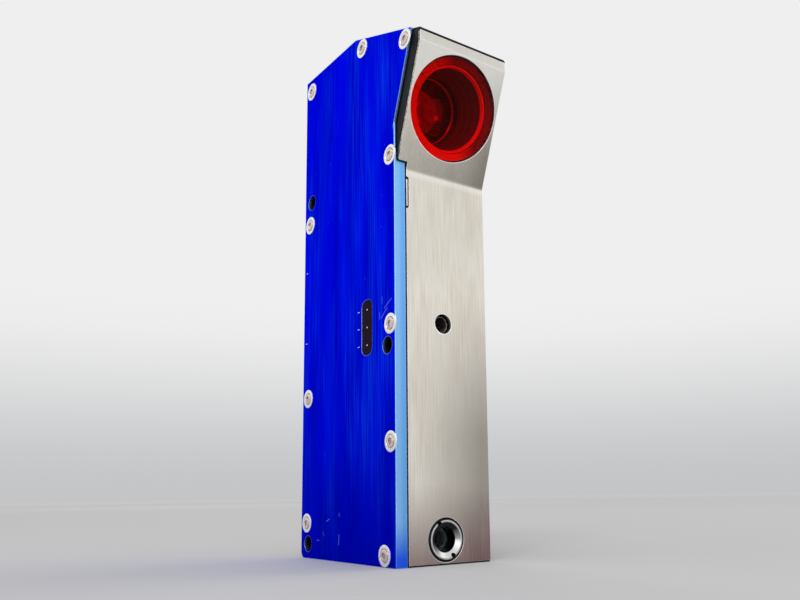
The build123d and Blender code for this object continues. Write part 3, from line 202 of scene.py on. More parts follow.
def rounded(line: list[Span], radius: float) -> np.ndarray:
    """Round the corners of a profile, except its two ends.

    A corner c turns into the curve (1-t)^2 a + 2t(1-t) c + t^2 b for t from 0 to 1, where a and b lie at the
    rounding's radius before and after it, or at 0.45 of the side where that is shorter.

    Args:
        line: Corners as (radius, height).
        radius: How far from a corner its curve starts.
    Returns:
        The profile's points, as rows of radius and height.
    """
    corners = np.array(line, float)
    back, ahead = np.roll(corners, 1, axis=0) - corners, np.roll(corners, -1, axis=0) - corners
    back_length, ahead_length = np.linalg.norm(back, axis=1), np.linalg.norm(ahead, axis=1)
    reach = np.minimum(radius, 0.45 * np.minimum(back_length, ahead_length))[:, None]
    start, end = corners + back / back_length[:, None] * reach, corners + ahead / ahead_length[:, None] * reach
    t = np.linspace(0, 1, CORNER_STEPS)[None, :, None]
    curves = (1 - t) ** 2 * start[:, None] + 2 * t * (1 - t) * corners[:, None] + t**2 * end[:, None]
    return np.vstack([corners[:1], curves[1:-1].reshape(-1, 2), corners[-1:]])


def threaded(radii: Span, run: np.ndarray, pitch: float, columns: int, lead: float = 0.0) -> np.ndarray:
    """Work out the rows of a screw thread.

    The phase is height / pitch minus the share of a turn, plus the lead. The wave has straight flanks with flat
    crests and roots: 1.25 less 3 times the distance of the phase from its nearest whole number, kept from 0 to 1. It
    fades over the last half turn at each end, and carries the radius from the root to the crest.

    Args:
        radii: The root's and the crest's radius.
        run: Places along the axis, by row.
        pitch: Rise of one turn.
        columns: Steps of a turn.
        lead: Share of a turn by which the crest is turned.
    Returns:
        Radius and height, rows by columns by 2.
    """
    phase = run[:, None] / pitch - np.linspace(0, 1, columns, endpoint=False) + lead
    wave = np.clip(1.25 - 3 * np.abs(phase - np.round(phase)), 0, 1)
    fade = np.clip(np.minimum(run - run.min(), run.max() - run) / (pitch / 2), 0, 1)[:, None]
    root, crest = radii
    return np.stack([root + (crest - root) * wave * fade, np.broadcast_to(run[:, None], wave.shape)], -1)


def make_piece(name: str, shells: list[Shell], stands_for: tuple[str, ...] = ()) -> bpy.types.Object:
    """Join shells into one object that is fixed to the case.

    Args:
        name: The object's name.
        shells: Its surfaces.
        stands_for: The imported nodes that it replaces.
    Returns:
        The object, not dressed yet.
    """
    starts = np.cumsum([0] + [len(shell.points) for shell in shells[:-1]])
    faces = [(face + start).tolist() for shell, start in zip(shells, starts) for face in (shell.quads, shell.triangles)]
    mesh = bpy.data.meshes.new(name)
    mesh.from_pydata(np.vstack([shell.points for shell in shells]).tolist(), [], sum(faces, []))
    # Per point dirt and painted shade, which the finishes read.
    soil = mesh.attributes.new("soil", "FLOAT", "POINT")
    soil.data.foreach_set("value", np.concatenate([shell.soil for shell in shells]))
    mesh.shade_smooth()
    mesh.set_sharp_from_angle(angle=np.radians(SHARP_ANGLE))
    piece = bpy.data.objects.new(name, mesh)
    bpy.context.scene.collection.objects.link(piece)
    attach(piece, "root")
    if stands_for:
        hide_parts(*stands_for)
    LOG.info("%s: %d points, %d faces", name, len(mesh.vertices), len(mesh.polygons))
    return piece


# Masks, which say where a colour, a gloss or a relief goes: 0 is nowhere and 1 is in full


@dataclass(frozen=True)
class Mask:
    """A mask, which a sheet draws in its node tree."""

    def draw(self, sheet: "Sheet") -> Socket:
        """Draw its nodes, in each kind's own way."""
        raise NotImplementedError

    def __mul__(self, other: "Mask") -> "Mask":
        """Give the mask of where both are."""
        return Both(self, other)


@dataclass(frozen=True)
class Both(Mask):
    """Where two masks are: their product."""

    one: Mask
    other: Mask

    def draw(self, sheet: "Sheet") -> Socket:
        """Multiply the two."""
        return sheet.add("Math", {0: sheet.mask(self.one), 1: sheet.mask(self.other)}, operation="MULTIPLY")


@dataclass(frozen=True)
class Patches(Mask):
    """Soft patches: noise of a size along X, Y and Z in mm, from the value that gives 0 to the one that gives 1."""

    size: Point
    low: float
    high: float
    detail: float = 2.0

    def draw(self, sheet: "Sheet") -> Socket:
        """Scale the place to the size and spread the noise there.

        Args:
            sheet: The sheet it goes on.
        Returns:
            The mask.
        """
        scale = tuple(1 / side for side in self.size)
        place = sheet.add("VectorMath", {0: sheet.place, 1: scale}, operation="MULTIPLY")
        noise = sheet.add("TexNoise", {"Vector": place, "Scale": 1.0, "Detail": self.detail})
        return sheet.add("MapRange", {0: noise, 1: self.low, 2: self.high})


@dataclass(frozen=True)
class Dots(Mask):
    """Scattered dots of a radius in mm: spots in the cells of a Voronoi pattern, kept in a share of the cells."""

    spacing: float
    radius: float
    share: float

    def draw(self, sheet: "Sheet") -> Socket:
        """Draw a spot in each cell, and keep those whose cell's colour is low enough.

        Args:
            sheet: The sheet it goes on.
        Returns:
            The mask.
        """
        cells = sheet.add("TexVoronoi", {"Vector": sheet.place, "Scale": 1 / self.spacing}, "Distance")
        rim = self.radius / self.spacing
        spot = sheet.add("MapRange", {0: cells, 1: rim, 2: rim / 2})
        tone = sheet.add("SeparateColor", {0: cells.node.outputs["Color"]})
        kept = sheet.add("Math", {0: tone, 1: self.share}, operation="LESS_THAN")
        return sheet.add("Math", {0: spot, 1: kept}, operation="MULTIPLY")


@dataclass(frozen=True)
class Along(Mask):
    """A rise between two places in mm, told by the dot product of the place with a way."""

    way: Point
    low: float
    high: float

    def draw(self, sheet: "Sheet") -> Socket:
        """Spread the place's share of the way."""
        return sheet.toward(sheet.place, self.way, self.low, self.high)


@dataclass(frozen=True)
class Facing(Mask):
    """The faces that look one way, told by the dot product of their normal with it."""

    way: Point
    low: float
    high: float

    def draw(self, sheet: "Sheet") -> Socket:
        """Spread the normal's share of the way."""
        return sheet.toward(sheet.add("NewGeometry", out="Normal"), self.way, self.low, self.high)


@dataclass(frozen=True)
class Edges(Mask):
    """The edges: where a normal rounded over a width in mm leaves the true one."""

    width: float
    flat: float = 0.995
    sharp: float = 0.9

    def draw(self, sheet: "Sheet") -> Socket:
        """Spread the dot product of the two normals."""
        return sheet.toward(sheet.bevel(self.width), sheet.add("NewGeometry", out="Normal"), self.flat, self.sharp)


@dataclass(frozen=True)
class Band(Mask):
    """A soft line square to a way: 1 at its place along the way, gone at half its width from it."""

    way: Point
    place: float
    width: float

    def draw(self, sheet: "Sheet") -> Socket:
        """Multiply a rise before the place by a fall after it."""
        low, high = self.place - self.width / 2, self.place + self.width / 2
        return sheet.mask(Along(self.way, low, self.place) * Along(self.way, high, self.place))


@dataclass(frozen=True)
class Within(Mask):
    """What lies nearer to an axis than a radius in mm, with a soft rim as wide as the blur."""

    spindle: Spindle
    radius: float
    blur: float = 0.1

    def draw(self, sheet: "Sheet") -> Socket:
        """Spread the distance from the axis."""
        return sheet.add("MapRange", {0: sheet.reach(self.spindle), 1: self.radius, 2: self.radius - self.blur})


@dataclass(frozen=True)
class ToolMarks(Mask):
    """Tool marks round an axis: one-way noise of the distance from the axis and along it, a spacing in mm apart."""

    spindle: Spindle
    spacing: float = 0.22

    def draw(self, sheet: "Sheet") -> Socket:
        """Draw the noise of the two distances added up.

        Args:
            sheet: The sheet it goes on.
        Returns:
            The mask.
        """
        along = sheet.add("VectorMath", {0: sheet.place, 1: self.spindle.along}, "Value", operation="DOT_PRODUCT")
        total = sheet.add("Math", {0: sheet.reach(self.spindle), 1: along}, operation="ADD")
        return sheet.add("TexNoise", {"W": total, "Scale": 1 / self.spacing, "Detail": 2.0}, noise_dimensions="1D")


@dataclass(frozen=True)
class Scratch(Mask):
    """One straight scratch on the cover, in mm: 1 on the line from start to end, gone at the width from it.

    The nearest point of the line is its start plus its direction times the dot product, kept within its length.
    """

    start: Span
    end: Span
    width: float

    def draw(self, sheet: "Sheet") -> Socket:
        """Spread the distance from the line, whose ends are given as depth behind the front and height.

        Args:
            sheet: The sheet it goes on.
        Returns:
            The mask.
        """
        start, end = [np.array((COVER_FACE, FRONT + depth, height)) for depth, height in (self.start, self.end)]
        length = float(np.linalg.norm(end - start))
        way = ((end - start) / length).tolist()
        off = sheet.add("VectorMath", {0: sheet.place, 1: start.tolist()}, operation="SUBTRACT")
        along = sheet.add("VectorMath", {0: off, 1: way}, "Value", operation="DOT_PRODUCT")
        kept = sheet.add("Clamp", {0: along, 1: 0.0, 2: length})
        nearest = sheet.add("VectorMath", {0: way, "Scale": kept}, operation="SCALE")
        gap = sheet.add("VectorMath", {0: off, 1: nearest}, "Value", operation="DISTANCE")
        return sheet.add("MapRange", {0: gap, 1: self.width, 2: 0.2 * self.width})


@dataclass(frozen=True)
class DirtAndShade(Mask):
    """The dirt and painted shade that the piece's mesh carries."""

    def draw(self, sheet: "Sheet") -> Socket:
        """Read the mesh's attribute."""
        return sheet.add("Attribute", out="Fac", attribute_name="soil")


@dataclass(frozen=True)
class Away(Mask):
    """A smooth rise between two distances from the object's foot, in mm."""

    near: float
    far: float

    def draw(self, sheet: "Sheet") -> Socket:
        """Spread the length of the place."""
        gap = sheet.add("VectorMath", {0: sheet.place}, "Value", operation="LENGTH")
        return sheet.add("MapRange", {0: gap, 1: self.near, 2: self.far}, interpolation_type="SMOOTHSTEP")


# Finishes. A coat is a colour, how much of it shows at most, and where it goes

Coat = tuple[str, float, Mask]


class Sheet:
    """A material while it is drawn: its tree, its shader, and the masks and the colour that it has so far."""

    def __init__(self, finish: "Finish") -> None:
        """Start a material from the plain values of a finish.

        Args:
            finish: Gives the name, the colour and the shader's values.
        """
        self.material = bpy.data.materials.new(finish.name)
        self.material.use_nodes = True
        self.tree = self.material.node_tree
        self.add = partial(add_node, self.tree)
        self.shader = self.tree.nodes["Principled BSDF"]
        for socket, value in finish.values().items():
            self.shader.inputs[socket].default_value = value
        place = self.add("TexCoord", out="Object")
        self.place = self.add("VectorMath", {0: place, 1: (1 / MM,) * 3}, operation="MULTIPLY")
        self.colour: Socket | tuple[float, ...] = linear(finish.colour)
        self.drawn: dict[Mask, Socket] = {}

    def mask(self, mask: Mask) -> Socket:
        """Draw a mask the first time that it is asked for.

        Args:
            mask: The mask.
        Returns:
            Its socket.
        """
        if mask not in self.drawn:
            self.drawn[mask] = mask.draw(self)
        return self.drawn[mask]

    def toward(self, vector: Socket, way: Point | Socket, low: float, high: float) -> Socket:
        """Spread the dot product of a vector with a way.

        Args:
            vector: The vector.
            way: A direction of length 1, fixed or fed by a socket.
            low: The product that becomes 0.
            high: The product that becomes 1.
        Returns:
            The mask, from 0 to 1.
        """
        product = self.add("VectorMath", {0: vector, 1: way}, "Value", operation="DOT_PRODUCT")
        return self.add("MapRange", {0: product, 1: low, 2: high})

    def reach(self, spindle: Spindle) -> Socket:
        """Find the distance from an axis: the length of the place off its centre crossed with its way.

        Args:
            spindle: The axis.
        Returns:
            The distance in mm.
        """
        off = self.add("VectorMath", {0: self.place, 1: spindle.centre}, operation="SUBTRACT")
        square = self.add("VectorMath", {0: off, 1: spindle.along}, operation="CROSS_PRODUCT")
        return self.add("VectorMath", {0: square}, "Value", operation="LENGTH")

    def bevel(self, width: float) -> Socket:
        """Give the normal as if edges were rounded over a width in mm."""
        return self.add("Bevel", {"Radius": width * MM}, samples=BEVEL_SAMPLES)

    def feed(self, name: str, socket: Socket) -> None:
        """Feed one of the shader's inputs."""
        self.tree.links.new(socket, self.shader.inputs[name])


@dataclass(frozen=True)
class Gloss:
    """How far the roughness leaves the finish's own, where a mask is 0 and where it is 1."""

    mask: Mask
    low: float
    high: float


@dataclass(frozen=True)
class Relief:
    """A bump: its height as a mask, the depth of 1 in mm, its strength, and the width in mm that edges are rounded."""

    mask: Mask
    depth: float
    strength: float
    rounding: float = 0.0


@dataclass(frozen=True)
class Finish:
    """A finish: its name, its colour, how it takes light and tints it, and the coats, gloss and relief over that."""

    name: str
    colour: str
    roughness: float = 0.5
    metallic: float = 0.0
    specular: float = 0.5
    tint: str = "#FFFFFF"
    coats: tuple[Coat, ...] = ()
    gloss: Gloss | None = None
    relief: Relief | None = None

    def values(self) -> dict[str, object]:
        """Give the shader's plain values by socket."""
        return {
            "Base Color": linear(self.colour),
            "Roughness": self.roughness,
            "Metallic": self.metallic,
            "Specular IOR Level": self.specular,
            "Specular Tint": linear(self.tint),
        }

    def ground(self) -> tuple[Coat, ...]:
        """Give the coats that every finish of this kind has under its own."""
        return ()

    def draw(self, sheet: Sheet) -> None:
        """Lay the coats over the colour, and let roughness and bump follow their masks.

        Args:
            sheet: The sheet that they go on.
        """
        for code, strength, mask in self.ground() + self.coats:
            share = sheet.add("Math", {0: sheet.mask(mask), 1: strength}, operation="MULTIPLY")
            sheet.colour = sheet.add("Mix", {0: share, 6: sheet.colour, 7: linear(code)}, 2, data_type="RGBA")
        sheet.feed("Base Color", sheet.colour)
        if self.gloss:
            low, high = self.roughness + self.gloss.low, self.roughness + self.gloss.high
            sheet.feed("Roughness", sheet.add("MapRange", {0: sheet.mask(self.gloss.mask), 3: low, 4: high}))
        if self.relief:
            height = sheet.mask(self.relief.mask)
            inputs = {"Strength": self.relief.strength, "Distance": self.relief.depth * MM, "Height": height}
            if self.relief.rounding:
                inputs["Normal"] = sheet.bevel(self.relief.rounding)
            sheet.feed("Normal", sheet.add("Bump", inputs))

    def dress(self, *pieces: bpy.types.Object) -> None:
        """Give pieces this finish, building its material the first time.

        Args:
            pieces: The objects that get it.
        """
        material = bpy.data.materials.get(self.name)
        if material is None:
            sheet = Sheet(self)
            self.draw(sheet)
            material = sheet.material
        for piece in pieces:
            piece.data.materials.clear()
            piece.data.materials.append(material)


BRUSHING = Patches((0.45, 0.45, 30.0), 0.44, 0.74, 3.0)
# Forward-facing faces of the cover: the flange, which is painted pale as painted light.
PAINTED_LIGHT_FLANGE = Facing(FORWARD, 0.5, 0.9)
SCRATCHES = (
    Scratch((2.0, 86.4), (6.4, 84.0), 0.2),
    Scratch((4.8, 83.7), (8.4, 80.9), 0.22),
    Scratch((9.4, 83.0), (9.3, 80.7), 0.2),
    Scratch((7.8, 88.2), (7.7, 85.6), 0.15),
    Scratch((36.3, 9.2), (36.5, 5.8), 0.28),
    Scratch((36.3, 16.6), (36.1, 15.3), 0.2),
    Scratch((45.6, 13.6), (43.3, 14.4), 0.22),
    Scratch((52.8, 6.7), (50.8, 6.7), 0.2),
    Scratch((48.0, 9.8), (47.2, 8.4), 0.15),
)


@dataclass(frozen=True)
class BlueAnodisedSheet(Finish):
    """Brushed aluminium sheet, dyed blue and sealed.

    The eye sees a deep blue with upright brushing in paler threads, specks, and the scratches of handling. Light and
    shade are painted in too: painted shade darkens the blue towards the foot; the front flange is painted pale blue
    as painted light, with a painted highlight on its left part and its top edge, fading to a saturated blue at its
    foot; and painted highlights run along the leaning edge and every cut edge.
    """

    tint: str = "#2040FF"
    coats: tuple[Coat, ...] = (
        ("#0208B8", 0.55, Patches((9.0, 9.0, 60.0), 0.35, 0.65)),
        ("#3070FF", 0.62, BRUSHING * Patches((12.0, 12.0, 55.0), 0.4, 0.62)),
        # Painted shade: the blue darker towards the foot.
        ("#0A128E", 0.5, Along(UP, 45.0, -5.0)),
        # Painted light: the flange painted pale blue, a painted highlight on its left part and along its top, and a
        # saturated blue where the painted light fades at its foot.
        ("#78BEFF", 0.97, PAINTED_LIGHT_FLANGE),
        ("#96CEFF", 0.8, PAINTED_LIGHT_FLANGE * Along(LEFT, 16.6, 17.8)),
        ("#E8F6FF", 0.9, PAINTED_LIGHT_FLANGE * Along(UP, 147.0, 148.0)),
        ("#1058FF", 0.9, PAINTED_LIGHT_FLANGE * Along(UP, 14.0, 3.0)),
        # Painted highlight: a pale line along the leaning edge, on the cover's side face.
        ("#8CC4FF", 0.9, Along(UP, 145.0, 147.0) * Along(CANTED, -20.2, -19.9)),
        # Painted highlight: every edge painted pale.
        ("#B0CCFF", 0.85, Edges(0.3)),
        ("#A8B8FF", 0.6, Dots(5.0, 0.16, 0.16)),
        *(("#8C96FF", 0.8, scratch) for scratch in SCRATCHES),
    )
    gloss: Gloss = Gloss(BRUSHING, 0.0, -0.08)
    relief: Relief = Relief(BRUSHING, 0.01, 0.35, 0.2)


ROLLING = Patches((0.5, 0.5, 16.0), 0.35, 0.68, 3.0)
SMEARS = Patches((7.0, 7.0, 22.0), 0.46, 0.7, 3.0)
PLATE_CANTED = Facing(CANTED, 0.95, 0.98)


@dataclass(frozen=True)
class RolledSheet(Finish):
    """Satin rolled stainless sheet.

    The eye sees a warm silver with a faint upright rolling grain, small pits, pale specks and the smears that hands
    and cloths leave. Light and shade are painted in too: painted light makes the sheet lighter towards the top, and
    painted shade darkens it below the middle and, reddish, at the foot; the leaning face has painted light near its
    top and painted shade at its lower right; the lip above the upper bend is painted a little darker; the left side
    is painted dark grey as painted shade; and painted highlights run along both bends, the rims of the three holes
    and every edge.
    """

    coats: tuple[Coat, ...] = (
        # Painted light and shade: lighter towards the top, darker below the middle towards the right, and a reddish
        # painted shade at the foot, most at its right.
        ("#FFF9EE", 0.8, Along(UP, 112.0, 82.0)),
        ("#9C968E", 0.85, Along(UP, 92.0, 42.0) * Along(LEFT, 12.0, -15.0)),
        ("#94797C", 0.85, Along(UP, 26.0, 2.0)),
        ("#6A444C", 0.55, Along(UP, 24.0, 2.0) * Along(LEFT, 4.0, -14.0)),
        ("#B9B1A4", 0.3, ROLLING),
        ("#B9AFA0", 0.25, SMEARS),
        # Painted light and shade on the leaning face: lighter near its top, darker towards its lower right.
        ("#FFFDF6", 0.85, PLATE_CANTED * Along(UP, 146.0, 160.0)),
        ("#8A817A", 0.5, PLATE_CANTED * (Along(LEFT, -9.0, -17.0) * Along(UP, 158.0, 142.0))),
        ("#857C74", 0.6, PLATE_CANTED * Along((0.6, 0.0, -0.8), -128.0, -97.0)),
        # Painted shade: the lip above the upper bend a little darker. Painted highlights: white lines along the upper
        # and the lower bend.
        ("#CDCCC8", 0.6, Along(UP, 170.6, 171.4)),
        ("#FFFFFF", 0.7, Band(UP, 171.0, 1.2)),
        ("#FFFFFF", 0.45, Band(UP, 130.4, 3.6)),
        # Painted highlight: a white line round the front rim of the thread hole, the window and the emitter opening.
        *(
            ("#FFFFFF", 0.95, Within(axis, radius, 0.08) * Facing(axis.along, 0.0, -0.5))
            for axis, radius in ((THREAD_AXIS, 3.75), (WINDOW_AXIS, 18.0), (EMITTER_AXIS, 7.35))
        ),
        # Painted shade, mottled: the plate's left-facing side painted dark grey.
        ("#6E6A64", 0.8, Facing(LEFT, 0.6, 0.9) * Patches((0.6, 0.6, 0.6), 0.35, 0.6)),
        ("#8F8678", 0.45, Dots(4.5, 0.2, 0.2)),
        ("#FFFFFF", 0.6, Dots(3.1, 0.16, 0.22)),
        # Painted highlight: every edge painted near white.
        ("#FFFDF8", 0.8, Edges(0.25)),
    )
    gloss: Gloss = Gloss(SMEARS, 0.0, 0.1)
    relief: Relief = Relief(ROLLING, 0.01, 0.25, 0.25)


FINE_GRAIN = Patches((0.35, 0.35, 0.35), 0.3, 0.7)


@dataclass(frozen=True)
class Blasted(Finish):
    """A surface with an even small grain, such as bead-blasted anodising, moulded plastic, rubber or ferrite.

    The eye sees a matt colour that varies a little from place to place, with edges paler in patches from rubbing;
    on the black case those paler edges are also a painted highlight.
    """

    cloud: str = "#303030"
    worn_and_lit: str = "#585450"
    wear_and_highlight: float = 0.35
    gloss: Gloss = Gloss(FINE_GRAIN, -0.06, 0.06)
    relief: Relief = Relief(FINE_GRAIN, 0.012, 0.5, 0.2)

    def ground(self) -> tuple[Coat, ...]:
        """Give clouds, and edges paler in patches: rubbing, on the black case also a painted highlight."""
        pale_edges = Edges(0.3) * Patches((1.5, 1.5, 1.5), 0.4, 0.6)
        return (self.cloud, 0.35, Patches((6.0, 6.0, 6.0), 0.4, 0.75, 3.0)), (self.worn_and_lit, self.wear_and_highlight, pale_edges)


@dataclass(frozen=True)
class Turned(Finish):
    """Metal turned on a lathe.

    The eye sees fine rings round its axis, clear reflections, darker dirt in patches, and edges painted paler as a
    painted highlight, which on the blackened bush is also blackening that has come off.
    """

    soil: str = "#4A4640"
    # Colour of the painted edge highlight; on the bush also blackening that has come off.
    edge: str = "#FFFFFF"
    wear_and_highlight: float = 0.3

    def ground(self) -> tuple[Coat, ...]:
        """Give dirt in patches, and edges painted paler: a painted highlight, on the bush also blackening that has come
        off.
        """
        return (self.soil, 0.25, Patches((1.2, 1.2, 1.2), 0.5, 0.8, 3.0)), (self.edge, self.wear_and_highlight, Edges(0.15))


@dataclass(frozen=True)
class BlackenedBush(Turned):
    """Blackened steel bush.

    The eye sees black with a countersink whose blackening has come off to grey.
    """

    coats: tuple[Coat, ...] = (("#B8B2AA", 0.8, Within(THREAD_AXIS, 2.75) * Along(FORWARD, 30.3, 30.6)),)
    gloss: Gloss = Gloss(ToolMarks(THREAD_AXIS), -0.05, 0.1)
    relief: Relief = Relief(ToolMarks(THREAD_AXIS), 0.012, 0.5, 0.12)


@dataclass(frozen=True)
class SpannerRing(Turned):
    """The turned ring round the light's opening.

    The eye sees a bright rim; painted shade darkens its cone on the upper left, and its throat and notches are
    painted black as painted shade.
    """

    coats: tuple[Coat, ...] = (
        # Painted shade: the cone darkened on its upper left, the throat and the two notches painted black.
        ("#141010", 0.97, Facing((0.45, 0.0, -0.89), -0.4, 0.15) * Within(EMITTER_AXIS, 5.75)),
        ("#0C0A0A", 1.0, Within(EMITTER_AXIS, 4.2)),
        *(("#0A0808", 1.0, Within(Spindle((x, FRONT, z), BACK), 0.88)) for x, z in ((-2.72, 13.12), (2.72, 2.88))),
    )
    gloss: Gloss = Gloss(ToolMarks(EMITTER_AXIS), -0.05, 0.1)
    relief: Relief = Relief(ToolMarks(EMITTER_AXIS), 0.012, 0.5, 0.12)


METAL_CLOUDS = Patches((0.9, 0.9, 0.9), 0.4, 0.72, 3.0)


@dataclass(frozen=True)
class Plated(Finish):
    """Plated metal: zinc, nickel or gold over steel or brass.

    The eye sees a bright even metal with faint clouds, and dirt with painted shade where the mesh's values put
    them: on the screws in the groove and the socket, and painted shade alone on the dome.
    """

    cloud: str = "#A8A298"
    soil: str = "#1E1A16"
    gloss: Gloss = Gloss(METAL_CLOUDS, -0.04, 0.1)
    relief: Relief = Relief(Patches((0.3, 0.3, 0.3), 0.3, 0.7), 0.006, 0.3)

    def ground(self) -> tuple[Coat, ...]:
        """Give clouds, and dirt with painted shade."""
        grime_and_shade = DirtAndShade() * Patches((0.5, 0.5, 0.5), 0.3, 0.5, 3.0)
        return (self.cloud, 0.4, METAL_CLOUDS), (self.soil, 1.0, grime_and_shade)


@dataclass(frozen=True)
class Glass(Finish):
    """Polished glass or clear plastic.

    The eye sees through it in its own tint, with sharp reflections that dust and a faint wipe mark dull in places.
    """

    index: float = 1.5
    coats: tuple[Coat, ...] = (("#8A8078", 0.35, Dots(2.6, 0.09, 0.25)),)
    gloss: Gloss = Gloss(Patches((5.0, 5.0, 9.0), 0.45, 0.8), 0.0, 0.06)

    def values(self) -> dict[str, object]:
        """Let the light through too."""
        return super().values() | {"Transmission Weight": 1.0, "IOR": self.index}

    def draw(self, sheet: Sheet) -> None:
        """Lay dust and wipe marks, and let the lamps' light go straight through.

        Args:
            sheet: The sheet that they go on.
        """
        super().draw(sheet)
        shaded = sheet.add("LightPath", out="Is Shadow Ray")
        clear = sheet.add("BsdfTransparent", {0: linear(self.colour)})
        both = sheet.add("MixShader", {0: shaded, 1: sheet.shader.outputs[0], 2: clear})
        sheet.tree.links.new(both, sheet.tree.nodes["Material Output"].inputs[0])


@dataclass(frozen=True)
class LensHood(Blasted):
    """The cone between the red filter and the receiving lens.

    The eye sees a bright turned lip right behind the filter and a dark brown bore with faint lighter rings.
    """

    coats: tuple[Coat, ...] = (
        *(("#7A4638", 0.7, Band(INWARD, place, 0.9)) for place in (21.0, 24.0, 26.6)),
        ("#F4EEE6", 1.0, Along(INWARD, 18.75, 18.65)),
    )


@dataclass(frozen=True)
class SealWithPaintedShade(Blasted):
    """Pale silicone under a bonded glass.

    The eye sees the pale ring through the glass, painted dark brown on its upper right as painted shade.
    """

    # Painted shade: dark brown over the ring's upper right.
    coats: tuple[Coat, ...] = (("#5A2A12", 0.9, Along((0.87, -0.17, 0.47), 77.0, 85.0)),)


@dataclass(frozen=True)
class StudioFloor(Finish):
    """Pale paper floor.

    The eye sees it run into the backdrop, since it pales further away, where less of the lamps' light falls.
    """

    coats: tuple[Coat, ...] = (("#F6F6F7", 1.0, Away(1000.0, 3100.0)),)


TRACKS = Patches((6.0, 1.6, 40.0), 0.54, 0.57, 0.0)


@dataclass(frozen=True)
class SolderMask(Finish):
    """Circuit board: glass-fibre laminate with green solder mask.

    The eye sees a glossy green with paler tracks under it that run straight and turn square, and round pads.
    """

    coats: tuple[Coat, ...] = (
        ("#1E7A42", 0.8, TRACKS),
        ("#1E7A42", 0.8, Patches((6.0, 30.0, 1.6), 0.56, 0.59, 0.0)),
        ("#C9B26A", 0.9, Dots(3.2, 0.4, 0.4)),
    )
    relief: Relief = Relief(TRACKS, 0.03, 0.5)


# The finishes of this object
SMOOTH = Relief(FINE_GRAIN, 0.004, 0.5, 0.2)
# Black case: its paler edges are partly rubbing and partly a painted highlight along its edges.
BLACK_CASE = Blasted("black_anodised_case", "#151213", 0.48, specular=0.14, cloud="#1D1A1B", worn_and_lit="#6B6660", wear_and_highlight=0.6)
BLACK_TUBE = Blasted("black_anodised_tube", "#141110", 0.55, specular=0.2, cloud="#1D1815", worn_and_lit="#2E2824", wear_and_highlight=0.2)
BLUE_COVER = BlueAnodisedSheet("blue_anodised_sheet", "#0422F4", 0.42, 1.0)
SILVER_PLATE = RolledSheet("satin_rolled_sheet", "#EDE8DC", 0.4, 1.0)
# Screws: the brown in the groove and the socket is painted shade with dirt, and on the dome painted shade.
SCREW_ZINC = Plated("zinc_plated_steel", "#FFFEFA", 0.22, 0.7, cloud="#F4EEE8", soil="#8C4A38")
TURNED_RING = SpannerRing("turned_aluminium_ring", "#D2D2D2", 0.3, 1.0)
TURNED_BUSH = BlackenedBush("blackened_steel_bush", "#161412", 0.35, 1.0, soil="#060504", edge="#B4AEA6", wear_and_highlight=0.7)
PLAIN_STEEL = Plated("zinc_steel_inside", "#C8C5BC", 0.3, 1.0)
BARE_ALUMINIUM = Plated("milled_aluminium", "#D2D3D4", 0.36, 1.0, cloud="#B4B5B6")
NICKEL = Plated("nickel_plated_brass", "#CFC9BE", 0.24, 1.0, cloud="#B5AC9C")
GOLD = Plated("gold_plated_brass", "#E3BE62", 0.25, 1.0, cloud="#C79E45")
RUBBER = Blasted("moulded_black_rubber", "#141414", 0.75, specular=0.25, cloud="#1E1D1C", worn_and_lit="#2B2A28")
PALE_RUBBER = Blasted("moulded_silicone", "#F0ECE4", 0.6, cloud="#E2DCD2", worn_and_lit="#F4F0EA")
ADHESIVE = Blasted("bond_film", "#2A2826", 0.7, cloud="#35322F", worn_and_lit="#3C3936")
HOOD = LensHood("anodised_lens_hood", "#4C1E12", 0.5, specular=0.3, cloud="#5A281C", worn_and_lit="#64342A")
SEAT = SealWithPaintedShade("bonded_silicone_seal", "#FFFAF2", 0.6, cloud="#F4ECE2", worn_and_lit="#FFFFFF")
RED_GLASS = Glass("red_filter_glass", "#FF0C04", 0.02, tint="#8C2A1C", index=1.52)
LENS_GLASS = Glass("bloomed_lens_glass", "#F4F4F4", 0.03, tint="#FFE8E0", index=2.2)
CLEAR_GLASS = Glass("coated_optical_glass", "#E6F0F0", 0.02, tint="#3C2C54", index=1.52)
SMOKED = Blasted("smoked_acrylic_pane", "#1C0A1C", 0.2, specular=0.02, cloud="#220C1C", worn_and_lit="#4A3850", relief=SMOOTH)
LAMP_RESIN = Glass("clear_lamp_resin", "#F0ECE0", 0.08)
LAMP_TOP = Blasted("frosted_lamp_resin", "#E6E0FF", 0.3, cloud="#D8D0FF", worn_and_lit="#FFFFFF")
BOARD = SolderMask("green_solder_mask", "#0E5A2C", 0.35)
CHIP = Blasted("moulded_epoxy", "#1B1B1D", 0.55, cloud="#262628", worn_and_lit="#3A3A3C")
GUIDE = Blasted("moulded_black_plastic", "#1A1416", 0.5, cloud="#221B1D", worn_and_lit="#2E2628")
CREAM = Blasted("moulded_nylon", "#D8CFB4", 0.5, cloud="#C8BD9E", worn_and_lit="#E4DCC6")
FERRITE = Blasted("pressed_ferrite", "#3A3A3C", 0.7, cloud="#474749", worn_and_lit="#58585A")
CAN = Plated("drawn_aluminium_can", "#C4C6CA", 0.32, 1.0)
SHEATH = Blasted("lead_sheath", "#161618", 0.6, cloud="#202022", worn_and_lit="#2C2C2E")
WHITE_INK = Blasted("white_screen_ink", "#E9ECFF", 0.6, cloud="#C9D0FF", worn_and_lit="#AEB8FF", relief=SMOOTH)
FLOOR_PAPER = StudioFloor("pale_floor", "#C8C8C9", 0.9, specular=0.0)


def dress_nodes(finishes: dict[Finish, tuple[str, ...]]) -> None:
    """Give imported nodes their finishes.

    Args:
        finishes: The nodes of each finish.
    """
    for finish, names in finishes.items():
        finish.dress(*[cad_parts[name] for name in names])
        LOG.info("%s: %s", finish.name, ", ".join(names))


# Sub-assemblies


